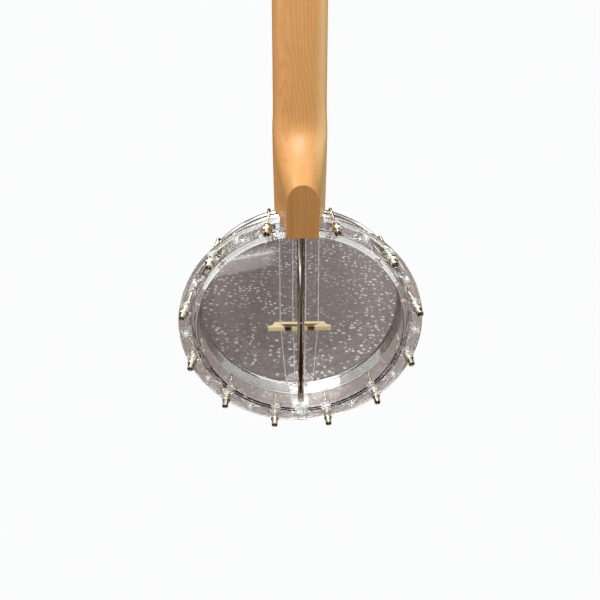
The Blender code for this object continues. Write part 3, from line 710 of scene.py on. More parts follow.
def make_hoops(hoop_metal, flesh_metal):
    """A tension hoop with a bead at each edge, and the round-edged hoop behind it."""
    inner, outer = film_high.x + GAP, hoop_high.x
    front, back = hoop_low.y, hoop_high.y
    shape = bmesh.new()
    lathe(shape, rounded([
        (inner, front, 0.5), (outer, front, 0.9), (outer, front + 3.8, 0.4),
        (outer - 0.8, front + 4.6, 0.5), (outer - 0.8, back - 1.9, 0.4), (outer, back - 1.2, 0.3),
        (outer, back, 0.4), (inner, back, 0.3)], 0.3), STEPS)
    show(piece("tension_hoop_band", shape, POT, hoop_metal), "root", "hoop_chrome", "tension_hoop")
    shape = bmesh.new()
    lathe(shape, rounded([(inner, flesh_low.y), (flesh_high.x, flesh_low.y), (flesh_high.x, flesh_high.y),
                          (inner, flesh_high.y)], 0.8), STEPS)
    show(piece("flesh_hoop_band", shape, POT, flesh_metal), "root", "flesh_hoop_metal", "flesh_hoop")


def hook_path(claw_y):
    """Points and wire radii from the threaded end up and in over the hoop."""
    end_y, thread_end, bend = hook_high.y, 12.0, 2.4
    rows = 96
    path = [(0, end_y - (end_y - thread_end) * row / rows, BRACKET_R) for row in range(rows + 1)]
    path += [(0, thread_end - 0.6, BRACKET_R)]
    path += [(0, claw_y + bend, BRACKET_R)]
    for step in range(1, 10):
        angle = math.radians(10 * step)
        path.append((0, claw_y + bend - bend * math.sin(angle), BRACKET_R - bend * (1 - math.cos(angle))))
    for inward in (3.0, 3.5, 3.85, 4.08, 4.18):
        path.append((0, claw_y, BRACKET_R - inward))
    tips = {len(path) - 3: 0.94, len(path) - 2: 0.75, len(path) - 1: 0.45}

    def radius(index, angle):
        if index <= rows:
            phase = (path[index][1] / 0.75 - angle / math.tau) % 1.0
            return HOOK_R - 0.17 * (1 - abs(2 * phase - 1))
        return HOOK_R * tips.get(index, 1.0)
    return path, radius


def make_brackets(hook_metal, nut_metal):
    path, radius = hook_path(hoop_low.y - HOOK_R - GAP)
    seat = NUT_SEAT_Y + GAP
    profile = rounded([(1.65, 0, 0.2), (4.05, 0, 0.4), (4.05, 1.3, 0.1), (3.85, 1.5, 0.1), (3.85, 1.9, 0.1),
                       (4.05, 2.1, 0.1), (4.05, 7.6, 0.6), (2.95, 8.5, 0.4), (2.95, 15.7, 0.4),
                       (2.15, 15.7, 0.3), (2.15, 10.0, 0.0), (1.65, 9.5, 0.0)], 0.2, 3)
    for number, angle in enumerate(bracket_angles(), 1):
        shape = bmesh.new()
        sweep(shape, path, radius, 16)
        hook = piece(f"hook_wire_{number:02d}", shape, turned_to(angle), hook_metal, 50)
        show(hook, "root", "hook_nickel", f"hook_{number:02d}")
        shape = bmesh.new()
        lathe(shape, profile, 40)
        place = turned_to(angle) @ Matrix.Translation((0, seat, BRACKET_R))
        name = f"bracket_nut_{number:02d}"
        barrel = piece(f"nut_barrel_{number:02d}", shape, place, nut_metal)
        show(barrel, name, "nut_nickel", name)


# ---------------------------------------------------------------- neck

def neck_half_width(z):
    along = np.clip((z - TAPER_START_Z) / (NUT_FRONT_Z - TAPER_START_Z), 0.0, 1.0)
    return POT_HALF_WIDTH + (NUT_HALF_WIDTH - POT_HALF_WIDTH) * along


def headstock_half_width(up):
    """Half width at a height above the nut: a flare, near-parallel sides and a crown."""
    side = HEADSTOCK_HALF_WIDTH - 1.5 * max(up - 25.0, 0.0) / 72.0
    if up < 25:
        flare = float(smoothstep((up - 3.0) / 22.0))
        return NUT_HALF_WIDTH + (HEADSTOCK_HALF_WIDTH - NUT_HALF_WIDTH) * flare
    if up < HEADSTOCK_LENGTH - CROWN:
        return side
    rise = min((up - HEADSTOCK_LENGTH + CROWN) / CROWN, 1.0)
    return (HEADSTOCK_HALF_WIDTH - 1.5) * max(math.cos(math.asin(rise)), 0.02) ** 0.7


def soft_max(first, second, softness):
    mix = np.clip(0.5 + 0.5 * (first - second) / softness, 0.0, 1.0)
    return second + (first - second) * mix + softness * mix * (1 - mix)


def heel_field(x, depth, z):
    """Negative inside the heel: an arch that spreads and rises from its cap to the neck."""
    along = np.clip((HEEL_CAP_Y - depth) / (HEEL_CAP_Y - HEEL_INNER_Y), 0.0, 1.0)
    half = HEEL_HALF_WIDTH + HEEL_SPREAD * along ** HEEL_SPREAD_POWER
    arch = half * HEEL_ARCH
    top = HEEL_TOP_Z + HEEL_RISE * (1 - np.sqrt(1 - along * along))
    rise = np.maximum(z - (top - arch), 0.0) / arch
    walls = (np.sqrt((x / half) ** 2 + rise ** 2) - 1) * half
    return soft_max(walls, depth - HEEL_CAP_Y, 0.7)


def cap_corner(z):
    """The angle at which a ray from the neck's front meets the edge of the heel's cap."""
    arch = HEEL_HALF_WIDTH * HEEL_ARCH
    rise = min(max(z - (HEEL_TOP_Z - arch), 0.0) / arch, 1.0)
    edge = math.atan2(HEEL_CAP_Y - NECK_FRONT_Y, HEEL_HALF_WIDTH * math.sqrt(1 - rise * rise))
    past = float(smoothstep((z - HEEL_TOP_Z) / 25.0))
    return min(edge, math.radians(87.5)) * (1 - past) + math.radians(70) * past


def ring(wide, deep, fullness, z=None):
    """One closed section of the neck, as (x, depth behind its front face) points.

    Where z is given, the heel is blended in.
    """
    side, edge, width = min(3.0, deep * 0.25), 0.7, math.radians(1.2)
    corner = cap_corner(HEEL_TOP_Z + 99 if z is None else z)
    right = np.concatenate([np.linspace(math.atan2(edge, wide), corner - width, 46),
                            np.linspace(corner - width, corner + width, 9)[1:],
                            np.linspace(corner + width, math.pi / 2, 8)[1:]])
    angles = np.concatenate([right, math.pi - right[-2::-1]])
    towards_x, towards_y = np.cos(angles), np.sin(angles)

    def field(distance):
        x, y = np.abs(towards_x * distance), towards_y * distance
        back = np.maximum(y - side, 0.0) / (deep - side)
        body = (((x / wide) ** fullness + back ** fullness) ** (1 / fullness) - 1) * wide
        if z is None:
            return body
        return -soft_max(-body, -heel_field(x, y + NECK_FRONT_Y, z), 5.0)

    low, high = np.zeros(len(angles)), np.full(len(angles), 90.0)
    for _ in range(30):
        middle = (low + high) / 2
        inside = field(middle) < 0
        low = np.where(inside, middle, low)
        high = np.where(inside, high, middle)
    skin = list(zip(towards_x * low, towards_y * low))
    eased = [(wide - edge * (1 - math.cos(turn)), edge * (1 - math.sin(turn)))
             for turn in (math.pi / 2, math.pi / 3, math.pi / 6)]
    return eased + skin + [(-x, y) for x, y in reversed(eased)]


def neck_heights():
    """Rows up the neck, closer together where the heel's arch and its curve are."""
    arch = HEEL_HALF_WIDTH * HEEL_ARCH
    heights = [96.0 + 2.0 * step for step in range(17)]
    heights += [HEEL_TOP_Z - arch + arch * math.sin(math.radians(step)) for step in range(4, 90, 4)]
    heights += [HEEL_TOP_Z + HEEL_RISE * (1 - math.sqrt(1 - (step / 34) ** 2)) for step in range(1, 34)]
    top = HEEL_TOP_Z + HEEL_RISE
    return heights + [top + (NUT_FRONT_Z - 2 - top) * step / 26 for step in range(27)]


def make_neck(material):
    """Neck, heel and headstock from one block, skinned from the pot to the crown."""
    sections = []
    for z in neck_heights():
        slim = float(smoothstep((z - 190.0) / (NUT_FRONT_Z - 190.0)))
        section = ring(float(neck_half_width(z)), NECK_THICK + (NECK_THIN - NECK_THICK) * slim, 2.5, z)
        sections.append([(x, NECK_FRONT_Y + y, z) for x, y in section])
    nut_end = Matrix.Translation((0, NECK_FRONT_Y, NECK_TOP_Z))
    for lean, up in ((0.0, -6.0), (0.25, -3.0), (0.5, 0.0)):
        part_way = nut_end @ Matrix.Rotation(-TILT * lean, 4, "X")
        section = ring(NUT_HALF_WIDTH, NECK_THIN, 2.5 + lean)
        sections.append([part_way @ Vector((x, y, up)) for x, y in section])
    to_headstock = POT.inverted() @ HEADSTOCK
    ups = [4.0 + 2.33 * step for step in range(10)] + [31.0, 45.0, 60.0, 75.0, 88.0]
    ups += [HEADSTOCK_LENGTH - CROWN + CROWN * math.sin(math.radians(step)) for step in range(0, 91, 6)]
    for up in ups:
        square = float(smoothstep(up / 22.0))
        deep = NECK_THIN + (HEADSTOCK_THICKNESS - NECK_THIN) * square
        section = ring(headstock_half_width(up), deep, 3.0 + 9.0 * square)
        sections.append([to_headstock @ Vector((x, y, up)) for x, y in section])
    shape = bmesh.new()
    loft(shape, sections)
    neck = piece("neck_body", shape, POT, material, 50)

    cuts = bmesh.new()
    rod(cuts, (0, flesh_high.y + 1.0, 0), (0, 60, 0), 101.85, 240)
    carve(neck, cuts, POT, sharp=50)
    cuts = bmesh.new()
    rod(cuts, (0, -60, 0), (0, flesh_high.y + 1.2, 0), 104.85, 240)
    rod(cuts, (0, ROD_Y, 95), (0, ROD_Y, 130), BOLT_HOLE_R)
    along = to_headstock.to_3x3() @ Vector((0, 1, 0))
    for x, z in tuner_places():
        middle = to_headstock @ Vector((x, 0, z))
        rod(cuts, middle - along * 4, middle + along * (HEADSTOCK_THICKNESS + 4), 4.0, 32)
    carve(neck, cuts, POT, sharp=50)
    show(neck, "root", "neck_maple", "neck")


def fret_z(number):
    return NUT_FRONT_Z - SCALE_LENGTH * (1 - 2 ** (-number / 12))


def circle(radius, steps):
    """Points round a circle, from +X towards +Y."""
    angles = [math.tau * step / steps for step in range(steps)]
    return [(radius * math.cos(angle), radius * math.sin(angle)) for angle in angles]


def make_fingerboard(wood, fret_metal, pearl):
    back, front = board_high.y, board_low.y
    ends = [board_low.z, board_low.z + 0.5, TAPER_START_Z, board_high.z]
    shape = bmesh.new()
    sections = []
    for z in ends:
        wide = float(neck_half_width(z)) - (0.4 if z == board_low.z else 0.0)
        outline = rounded([(-wide, back, 0.1), (wide, back, 0.1), (wide, front, 0.6),
                           (-wide, front, 0.6)], 0.1, 3)
        sections.append([(x, y, z) for x, y in outline])
    loft(shape, sections)
    show(piece("board", shape, POT, wood), "root", "fingerboard_wood", "fingerboard")

    shape = bmesh.new()
    for number in range(1, FRETS + 1):
        z = fret_z(number)
        wide = float(neck_half_width(z)) - 0.3
        arc = [(z + 1.1 * math.cos(a), front + 0.15 - 0.95 * math.sin(a))
               for a in (math.pi * step / 8 for step in range(9))]
        sections = []
        for x, tuck in ((-wide, 0.55), (-wide + 0.7, 0.0), (wide - 0.7, 0.0), (wide, 0.55)):
            sections.append([(x, min(y + tuck, front + 0.15), across) for across, y in arc])
        loft(shape, sections)
    frets = piece("fret_wires", shape, POT, fret_metal)
    show(frets, "root", "tuner_nickel")

    shape = bmesh.new()
    for number in (5, 7, 10, 12, 15):
        z = (fret_z(number) + fret_z(number - 1)) / 2
        for x in ((-7.0, 7.0) if number == 12 else (0.0,)):
            dot = [(x + right, z + up) for right, up in circle(2.4, 32)]
            slab(shape, dot, front - 0.05, front + 0.6, 0.04)
        side = neck_half_width(z)
        rod(shape, (-side + 0.6, back - 2.2, z), (-side - 0.04, back - 2.2, z), 0.9)
    show(piece("position_dots", shape, POT, pearl), "root", "nut_bone")


def spread_x(spread, index):
    return spread * (index / 3 - 0.5)


def make_string_nut(bone):
    """Bone with a sloping top and four round-bottomed slots."""
    back, top = nut_high.y, nut_low.y
    wide = nut_high.x
    stations = {-wide + 0.4, wide - 0.4, -wide, wide}
    for index in range(4):
        middle = spread_x(NUT_SPREAD, index)
        stations |= {middle + 0.12 * step for step in range(-6, 7)}
    sections = []
    for x in sorted(stations):
        nearest = min(abs(x - spread_x(NUT_SPREAD, index)) for index in range(4))
        sink = math.sqrt(max(0.0, 0.5 ** 2 - nearest ** 2)) + (0.45 if nearest < 0.5 else 0.0)
        shoulder = 0.4 if abs(x) >= wide else 0.0
        low_z, high_z = nut_low.z, nut_high.z
        sections.append([(x, y, z) for y, z in (
            (back, low_z), (top + sink + shoulder + 0.3, low_z), (top + sink + shoulder, low_z + 0.4),
            (top + sink + shoulder, low_z + 2.2), (top + 0.7 + sink + shoulder, low_z + 3.4),
            (top + 1.7 + sink + shoulder, high_z), (back, high_z))])
    shape = bmesh.new()
    loft(shape, sections)
    show(piece("nut_block", shape, POT, bone), "root", "nut_bone", "string_nut")


# ---------------------------------------------------------------- strings and bridge

def make_bridge(wood):
    """Three feet with T-shaped gaps, thinner towards the top, notched for the strings."""
    foot, top = bridge_high.y, bridge_low.y
    height = foot - top
    right = [(8.5, 0, 0.3), (8.5, 4.6, 0.3), (5.4, 4.6, 0.7), (5.4, 6.2, 0.7), (18.6, 6.2, 0.7),
             (18.6, 4.6, 0.7), (15.5, 4.6, 0.3), (15.5, 0, 0.3), (33, 0, 0.4), (33, 3.0, 0.6),
             (30, 4.6, 0.8), (27.6, 7.6, 1.2), (27, height, 0.5)]
    notches = []
    for index in (3, 2, 1, 0):
        x = spread_x(BRIDGE_SPREAD, index)
        notches += [(x + 0.5, height, 0), (x + 0.3, height - 0.35, 0), (x - 0.3, height - 0.35, 0),
                    (x - 0.5, height, 0)]
    left = [(-x, up, arc) for x, up, arc in reversed(right)]
    outline = rounded(right + notches + left, 0.4, 3)
    edge = 0.35
    shape = bmesh.new()
    sections = []
    for side, inset in ((-1, edge), (-1, 0.0), (1, 0.0), (1, edge)):
        points = grown(outline, -inset)
        sections.append([(x, foot - up, BRIDGE_Z + side * (2.7 - 1.5 * up / height - (edge - inset)))
                         for x, up in points])
    loft(shape, sections)
    show(piece("maple_bridge", shape, POT, wood, 40), "root", "bridge_maple", "bridge")


def tuner_places():
    """(x, z) of each post on the headstock, in the order of the strings."""
    return [(-POST_X, POST_Z[0]), (-POST_X, POST_Z[1]), (POST_X, POST_Z[1]), (POST_X, POST_Z[0])]


def softened(points, radius, steps=6):
    """A path with its corners bent to a curve."""
    path = [Vector(points[0])]
    for before, here, after in zip(points, points[1:], points[2:]):
        here = Vector(here)
        start = here + (Vector(before) - here).normalized() * radius
        end = here + (Vector(after) - here).normalized() * radius
        for step in range(steps + 1):
            share = step / steps
            path.append(start * (1 - share) ** 2 + here * 2 * share * (1 - share) + end * share ** 2)
    path.append(Vector(points[-1]))
    return path


def string_knot(shape, x):
    """Three crossed turns behind the tailpiece's edge."""
    for turn in (0.0, 2.1, 4.2):
        knot = []
        for step in range(14):
            angle = math.tau * step / 14
            knot.append((x + 0.75 * math.cos(angle), -32.3 + 0.75 * math.sin(angle + turn),
                         -96.4 + 0.7 * math.sin(angle * 2 + turn)))
        sweep(shape, knot, STRING_R * 0.8, 8)


def make_strings(nylon):
    """Each string from its knot behind the tailpiece to the turns around its post."""
    to_headstock = POT.inverted() @ HEADSTOCK
    bridge_y = bridge_low.y - STRING_R + 0.05
    nut_y = nut_low.y + 0.45
    wound = POST_R + STRING_R + 0.05
    for index, (post_x, post_z) in enumerate(tuner_places()):
        side = math.copysign(1, post_x)
        end = to_headstock @ Vector((post_x - side * wound, -5.6, post_z))
        tail_x = spread_x(TAIL_SPREAD, index)
        points = [(tail_x, -32.3, -96.0), (spread_x(BRIDGE_SPREAD, index), bridge_y, BRIDGE_Z),
                  (spread_x(NUT_SPREAD, index), nut_y, NUT_FRONT_Z + 1.5), end]
        shape = bmesh.new()
        sweep(shape, softened(points, 1.5), STRING_R, 12)
        string_knot(shape, tail_x)
        string = piece(f"nylon_{index + 1}", shape, POT, nylon, 60)
        show(string, "root", "string_nylon", f"string_{index + 1}")

        shape = bmesh.new()
        turns, steps = 3.25, 90
        coil = []
        for step in range(steps + 1):
            angle = math.tau * turns * step / steps
            y = -6.9 + 0.86 * turns * step / steps
            coil.append((-side * wound * math.cos(angle), y, -side * wound * math.sin(angle)))
        coil.append((0.0, coil[-1][1], 0.0))
        sweep(shape, coil, STRING_R, 8)
        place = HEADSTOCK @ Matrix.Translation((post_x, 0, post_z))
        winding = piece(f"winding_{index + 1}", shape, place, nylon, 60)
        show(winding, f"tuner_{index + 1}_post", "string_nylon")


def make_tailpiece(material):
    """A clear fan over the hoop's edge, with a leg back under the tail bolt."""
    front, back = -31.6, -28.0
    low, high = -107.4, -104.9
    half_leg = 9.5
    outline = [(half_leg, low), (16.5, -99.5)]
    outline += [(17.0 * math.sin(angle), -105.5 + 16.5 * math.cos(angle))
                for angle in (math.radians(step) for step in range(62, -63, -4))]
    outline += [(-16.5, -99.5), (-half_leg, low)]
    shape = bmesh.new()
    slab(shape, outline, front, back, 0.7)
    tailpiece = piece("tailpiece_fan", shape, POT, material)
    leg = bmesh.new()
    ground = [(-half_leg, front + 0.9)]
    ground += [(half_leg * math.sin(angle), ROD_Y - 1 + half_leg * math.cos(angle))
               for angle in (math.radians(step) for step in range(-90, 91, 10))]
    ground += [(half_leg, front + 0.9)]
    ease = 0.4
    layers = ((low + 0.02, -ease), (low + ease, 0.0), (high - ease, 0.0), (high, -ease))
    loft(leg, [[(x, y, z) for x, y in grown(ground[::-1], by)] for z, by in layers])
    carve(tailpiece, leg, POT, "UNION")
    holes = bmesh.new()
    rod(holes, (0, ROD_Y, low - 3), (0, ROD_Y, high + 3), BOLT_HOLE_R, 32)
    for index in range(4):
        x = spread_x(TAIL_SPREAD, index) * 0.86
        slot = rounded([(x - 0.55, -98.2), (x + 0.55, -98.2), (x + 0.55, -95.5), (x - 0.55, -95.5)], 0.5, 4)
        slab(holes, slot, front - 1, back + 1)
    carve(tailpiece, holes, POT)
    show(tailpiece, "root", "clear_plastic", "tailpiece")


# ---------------------------------------------------------------- rod and fasteners

ALONG_ROD = POT @ Matrix.Translation((0, ROD_Y, 0)) @ Matrix.Rotation(math.pi / 2, 4, "X")


def screw_thread(shape, low, high, radius, depth, pitch, sides=20):
    """A threaded length along Y."""
    rows = max(int((high - low) / pitch * 6), 2)
    heights = [low + (high - low) * row / rows for row in range(rows + 1)]

    def size(index, angle):
        phase = (heights[index] / pitch - angle / math.tau) % 1.0
        return radius - depth * (1 - abs(2 * phase - 1))
    sweep(shape, [(0, y, 0) for y in heights], size, sides)


def make_rod(chrome, steel):
    bore, bottom, top = 2.3, rod_low.z, rod_high.z
    shape = bmesh.new()
    lathe(shape, rounded([(0, bottom + 16), (bore, bottom + 16), (bore, bottom, 0.2), (ROD_R, bottom, 0.6),
                          (ROD_R, top, 0.6), (bore, top, 0.2), (bore, top - 18), (0, top - 18)],
                         0.0, 4, closed=False), 48, closed=False)
    bar = piece("rod_bar", shape, ALONG_ROD, chrome)
    hole = bmesh.new()
    rod(hole, (0, -8, 3.0), (0, 8, 3.0), 1.3, 24)
    carve(bar, hole, POT @ Matrix.Translation((0, ROD_Y, 0)))
    show(bar, "root", "rod_chrome", "coordinator_rod")

    shape = bmesh.new()
    screw_thread(shape, 75.0, 126.0, 2.0, 0.25, 1.1)
    show(piece("lag_screw", shape, ALONG_ROD, steel, 50), "root", "fastener_steel", "neck_lag_bolt")
    for name, node, size, low, high in (("heel_hex_nut", "rod_neck_nut", 5.0, top + GAP, 97.5),
                                        ("tail_hex_nut", "rod_tail_nut", 3.8, -97.5, bottom - GAP)):
        shape = bmesh.new()
        hex_nut(shape, bore, size, low, high)
        show(piece(name, shape, ALONG_ROD, steel), "root", "fastener_steel", node)
    shape = bmesh.new()
    lathe(shape, rounded([(2.3, washer_low.z), (6.5, washer_low.z), (6.5, washer_high.z),
                          (2.3, washer_high.z)], 0.2, 2), 48)
    show(piece("flat_washer", shape, ALONG_ROD, chrome), "root", "rod_chrome", "tail_washer")

    head_low, head_high = bolt_low.z, bolt_low.z + 2.1
    shape = bmesh.new()
    profile = rounded([(0, head_low + 1.5), (1.6, head_low + 1.5, 0), (1.6, head_low, 0.2),
                       (3.6, head_low, 0.9), (4.4, head_low + 0.9, 0.5), (4.4, head_high, 0.15),
                       (2.0, head_high, 0.2), (2.0, -98.0), (0, -98.0)], 0.0, 4, closed=False)
    lathe(shape, profile, 48, closed=False)
    screw_thread(shape, -97.9, bolt_high.z, 2.0, 0.2, 0.8)
    show(piece("tail_screw", shape, ALONG_ROD, steel, 50), "root", "fastener_steel", "tail_bolt")


# ---------------------------------------------------------------- tuning machines

def tuner_place(x, z):
    """A tuner's frame on the headstock, mirrored on the left so that +X is outboard."""
    return HEADSTOCK @ Matrix.Translation((x, 0, z)) @ Matrix.Diagonal((math.copysign(1, x), 1, 1, 1))


def make_plate(place, name, metal_finish):
    """Base plate with two rounded ears for the worm shaft and a screw at each end."""
    front = HEADSTOCK_THICKNESS + GAP
    back = front + 1.0
    shape = bmesh.new()
    outline = rounded([(-5.8, -11.0), (5.8, -11.0), (5.8, 13.5), (-5.8, 13.5)], 2.2, 6)
    slab(shape, outline, front, back, 0.25)
    plate = piece(name, shape, place, metal_finish)
    ears = bmesh.new()
    for side in (-1, 1):
        low, high = sorted((side * 4.6, side * 5.75))
        arch = rounded([(back - 0.5, WORM_Z - 2.9, 0.1), (WORM_Y + 2.7, WORM_Z - 2.9, 2.6),
                        (WORM_Y + 2.7, WORM_Z + 2.9, 2.6), (back - 0.5, WORM_Z + 2.9, 0.1)], 0.1, 8)
        loft(ears, [[(x, y, z) for y, z in arch] for x in (low, high)])
    carve(plate, ears, place, "UNION")
    holes = bmesh.new()
    rod(holes, (0, front - 3, 0), (0, back + 3, 0), 2.9, 28)
    rod(holes, (-9, WORM_Y, WORM_Z), (9, WORM_Y, WORM_Z), 1.5, 20)
    for z in (-8.4, 11.9):
        rod(holes, (0, front - 3, z), (0, back + 3, z), 1.1, 20)
    carve(plate, holes, place)
    return plate


def make_screws(place, name, metal_finish):
    """Two small round-head screws with crossed slots."""
    seat = HEADSTOCK_THICKNESS + GAP + 1.0
    arm, half = 1.1, 0.22
    cross = [(arm, -half), (arm, half), (half, half), (half, arm), (-half, arm), (-half, half),
             (-arm, half), (-arm, -half), (-half, -half), (-half, -arm), (half, -arm), (half, -half)]
    shape, slots = bmesh.new(), bmesh.new()
    for z in (-8.4, 11.9):
        turned = bmesh.new()
        lathe(turned, [(0, seat - 6.0), (0.9, seat - 4.5), (0.9, seat), (1.9, seat), (1.9, seat + 0.25),
                       (1.6, seat + 0.65), (1.0, seat + 0.9), (0, seat + 1.0)], 28, closed=False)
        turned.transform(Matrix.Translation((0, 0, z)))
        part = bpy.data.meshes.new("screw")
        turned.to_mesh(part)
        turned.free()
        shape.from_mesh(part)
        bpy.data.meshes.remove(part)
        slab(slots, [(x, z + up) for x, up in cross], seat + 0.45, seat + 2)
    screws = piece(name, shape, place, metal_finish)
    carve(screws, slots, place)
    return screws


def make_post(place, name, metal_finish):
    """Waisted post with its string hole, and a worm wheel with slanted teeth."""
    low, high = GEAR_BACK
    shape = bmesh.new()
    profile = rounded([(0, high - 0.4), (POST_R, high - 0.4), (POST_R, -3.6, 0.2), (2.1, -4.8, 1.0),
                       (2.1, -6.2, 1.0), (POST_R, -7.2, 0.3), (POST_R, -9.6, 0.7), (0, -9.6)],
                      0.0, 4, closed=False)
    lathe(shape, profile, 36, closed=False)
    post = piece(name, shape, place, metal_finish)
    cuts = bmesh.new()
    rod(cuts, (-5, -5.4, 0), (5, -5.4, 0), 0.75, 20)
    carve(post, cuts, place)
    wheel = bmesh.new()
    steps = GEAR_TEETH * 8
    rows = []
    for share in np.linspace(0, 1, 7):
        y = low + (high - 0.4 - low) * share
        loop = []
        for step in range(steps):
            angle = math.tau * step / steps
            tooth = 0.5 + 0.5 * math.cos(GEAR_TEETH * (angle + 0.12 * share))
            throat = 0.35 * (1 - (2 * share - 1) ** 2)
            size = GEAR_R - 0.05 - throat - 0.75 * (1 - smoothstep(1.6 * tooth - 0.3))
            loop.append((float(size) * math.sin(angle), y, float(size) * math.cos(angle)))
        rows.append(loop)
    loft(wheel, rows)
    carve(post, wheel, place, "UNION")
    hub = bmesh.new()
    lathe(hub, [(0, high - 0.9), (1.6, high - 0.9), (1.6, high - 0.15), (1.45, high), (0, high)], 28, False)
    carve(post, hub, place, "UNION")
    slot = bmesh.new()
    slab(slot, [(-2, -0.25), (2, -0.25), (2, 0.25), (-2, 0.25)], high - 0.3, high + 1)
    carve(post, slot, place)
    return post


def make_shaft(place, name, metal_finish):
    """Worm shaft: journals, a helical worm and a collar under the button."""
    worm = 4.2
    stations = np.concatenate([[-6.9, -6.7, -4.4], np.linspace(-worm, worm, 71),
                               [4.4, 14.6, 14.8, 16.4, 16.6, 20.0]])

    def size(index, angle):
        x = stations[index]
        if abs(x) <= worm:
            phase = (x / 2.05 - angle / math.tau) % 1.0
            crest = float(smoothstep(2.2 * (1 - abs(2 * phase - 1)) - 0.5))
            taper = float(smoothstep((worm - abs(x)) / 0.8))
            return SHAFT_R + (WORM_R - SHAFT_R) * crest * taper
        if 14.7 < x < 16.5:
            return 1.9
        return SHAFT_R - (0.25 if x < -6.8 else 0.0)
    shape = bmesh.new()
    sweep(shape, [(x, WORM_Y, WORM_Z) for x in stations], size, 24)
    return piece(name, shape, place, metal_finish, 50)


def make_button(place, name, cream):
    """Oval finger button: flat cheeks, a waist at the shaft and a rounded rim."""
    start, end = 16.6, 27.45
    profile = rounded([(1.5, start), (3.0, start, 0.5), (3.6, start + 1.4, 0.6), (5.5, start + 3.2, 1.4),
                       (5.6, start + 7.2, 1.6), (4.7, end - 1.0, 0.9), (2.4, end, 0.8), (0, end)],
                      0.0, 5, closed=False)
    profile = [(0, start)] + profile
    shape = bmesh.new()
    lathe(shape, profile, 56, closed=False)
    for vert in shape.verts:
        x, y, z = vert.co
        cheek = 0.62 if y > start + 1 else 0.85
        vert.co = (y, WORM_Y + x * cheek, WORM_Z + z * 1.24)
    return piece(name, shape, place, cream, 40)


def make_bushing(place, name, metal_finish):
    shape = bmesh.new()
    lathe(shape, rounded([(2.9, 8.0, 0.1), (2.9, -1.8, 0.25), (4.6, -1.8, 0.5), (5.4, -1.0, 0.4),
                          (5.4, -GAP, 0.1), (3.7, -GAP, 0.1), (3.7, 8.0, 0.1)], 0.1, 3), 48)
    return piece(name, shape, place, metal_finish)


def make_tuners(metal_finish, cream):
    for number, (x, z) in enumerate(tuner_places(), 1):
        place = tuner_place(x, z)
        cad = f"tuner_{number}"
        plate = make_plate(place, f"machine_{number}_plate", metal_finish)
        show(plate, "root", "tuner_nickel", f"{cad}_plate")
        show(make_screws(place, f"machine_{number}_screws", metal_finish), "root", "tuner_nickel")
        bushing = make_bushing(place, f"machine_{number}_bushing", metal_finish)
        show(bushing, "root", "tuner_nickel", f"{cad}_bushing")
        post = make_post(place, f"machine_{number}_post", metal_finish)
        show(post, f"{cad}_post", "tuner_nickel", f"{cad}_post")
        shaft = make_shaft(place, f"machine_{number}_worm", metal_finish)
        show(shaft, f"{cad}_knob", "tuner_nickel")
        button = make_button(place, f"machine_{number}_button", cream)
        show(button, f"{cad}_knob", "button_cream", f"{cad}_knob")


# ---------------------------------------------------------------- studio

WHITE = (0.97, 0.972, 0.98, 1.0)


def flecked_floor(tree, place, x):
    """A dark pile with pale flecks in loose patches, lighter towards -X."""
    pile = noise(tree, place, 420, 3, 0.6)
    spots = add_node(tree, "ShaderNodeTexVoronoi", {"Vector": place, "Scale": 125.0}).outputs["Distance"]
    size = maths(tree, "MULTIPLY", noise(tree, place, 170, 2), 0.56)
    flecks = smooth_range(tree, maths(tree, "SUBTRACT", spots, size), 0.06, -0.06)
    patches = ramp(tree, noise(tree, place, 9, 2), [(0.36, 0.20), (0.58, 0.95)])
    carpet = ramp(tree, pile, [(0.35, (0.155, 0.128, 0.122)), (0.7, (0.27, 0.238, 0.228))])
    flecked = blend(tree, maths(tree, "MULTIPLY", flecks, patches), carpet, (0.62, 0.61, 0.57, 1.0))
    inputs = {0: flecked, "Scale": smooth_range(tree, x, 0.12, -0.16, 0.88, 1.28)}
    return add_node(tree, "ShaderNodeVectorMath", inputs, operation="SCALE").outputs[0]


def floor_painted_reflections(tree, x, y):
    """Painted reflections, as mirrors see the floor: dark, with a light strip at either side and a slanting
    bright edge behind the pot.
    """
    sideways = maths(tree, "ADD", maths(tree, "MULTIPLY", x, 2.0), 0.5)
    # Painted reflections: a grey strip and a beige strip, which the rod mirrors.
    strips = ramp(tree, sideways, [(0.10, (0.10, 0.09, 0.085)), (0.22, (0.62, 0.61, 0.60)),
                                   (0.34, (0.045, 0.030, 0.022)), (0.63, (0.050, 0.032, 0.022)),
                                   (0.76, (0.80, 0.66, 0.48)), (0.90, (0.10, 0.085, 0.08))])
    behind = smooth_range(tree, y, -0.25, 0.0)
    dark = blend(tree, behind, (0.055, 0.042, 0.036, 1.0), strips)
    skew = maths(tree, "ADD", y, maths(tree, "MULTIPLY", x, 0.45))
    # Painted reflection: a slanting edge glowing up to five times white, which the film mirrors.
    edge = ramp(tree, skew, [(0.322, 0.0), (0.328, 1.4), (0.379, 2.0), (0.383, 5.0), (0.391, 5.0),
                             (0.395, 2.2), (0.43, 0.0)])
    return blend(tree, smooth_range(tree, x, 0.018, 0.052), dark, edge, "ADD")


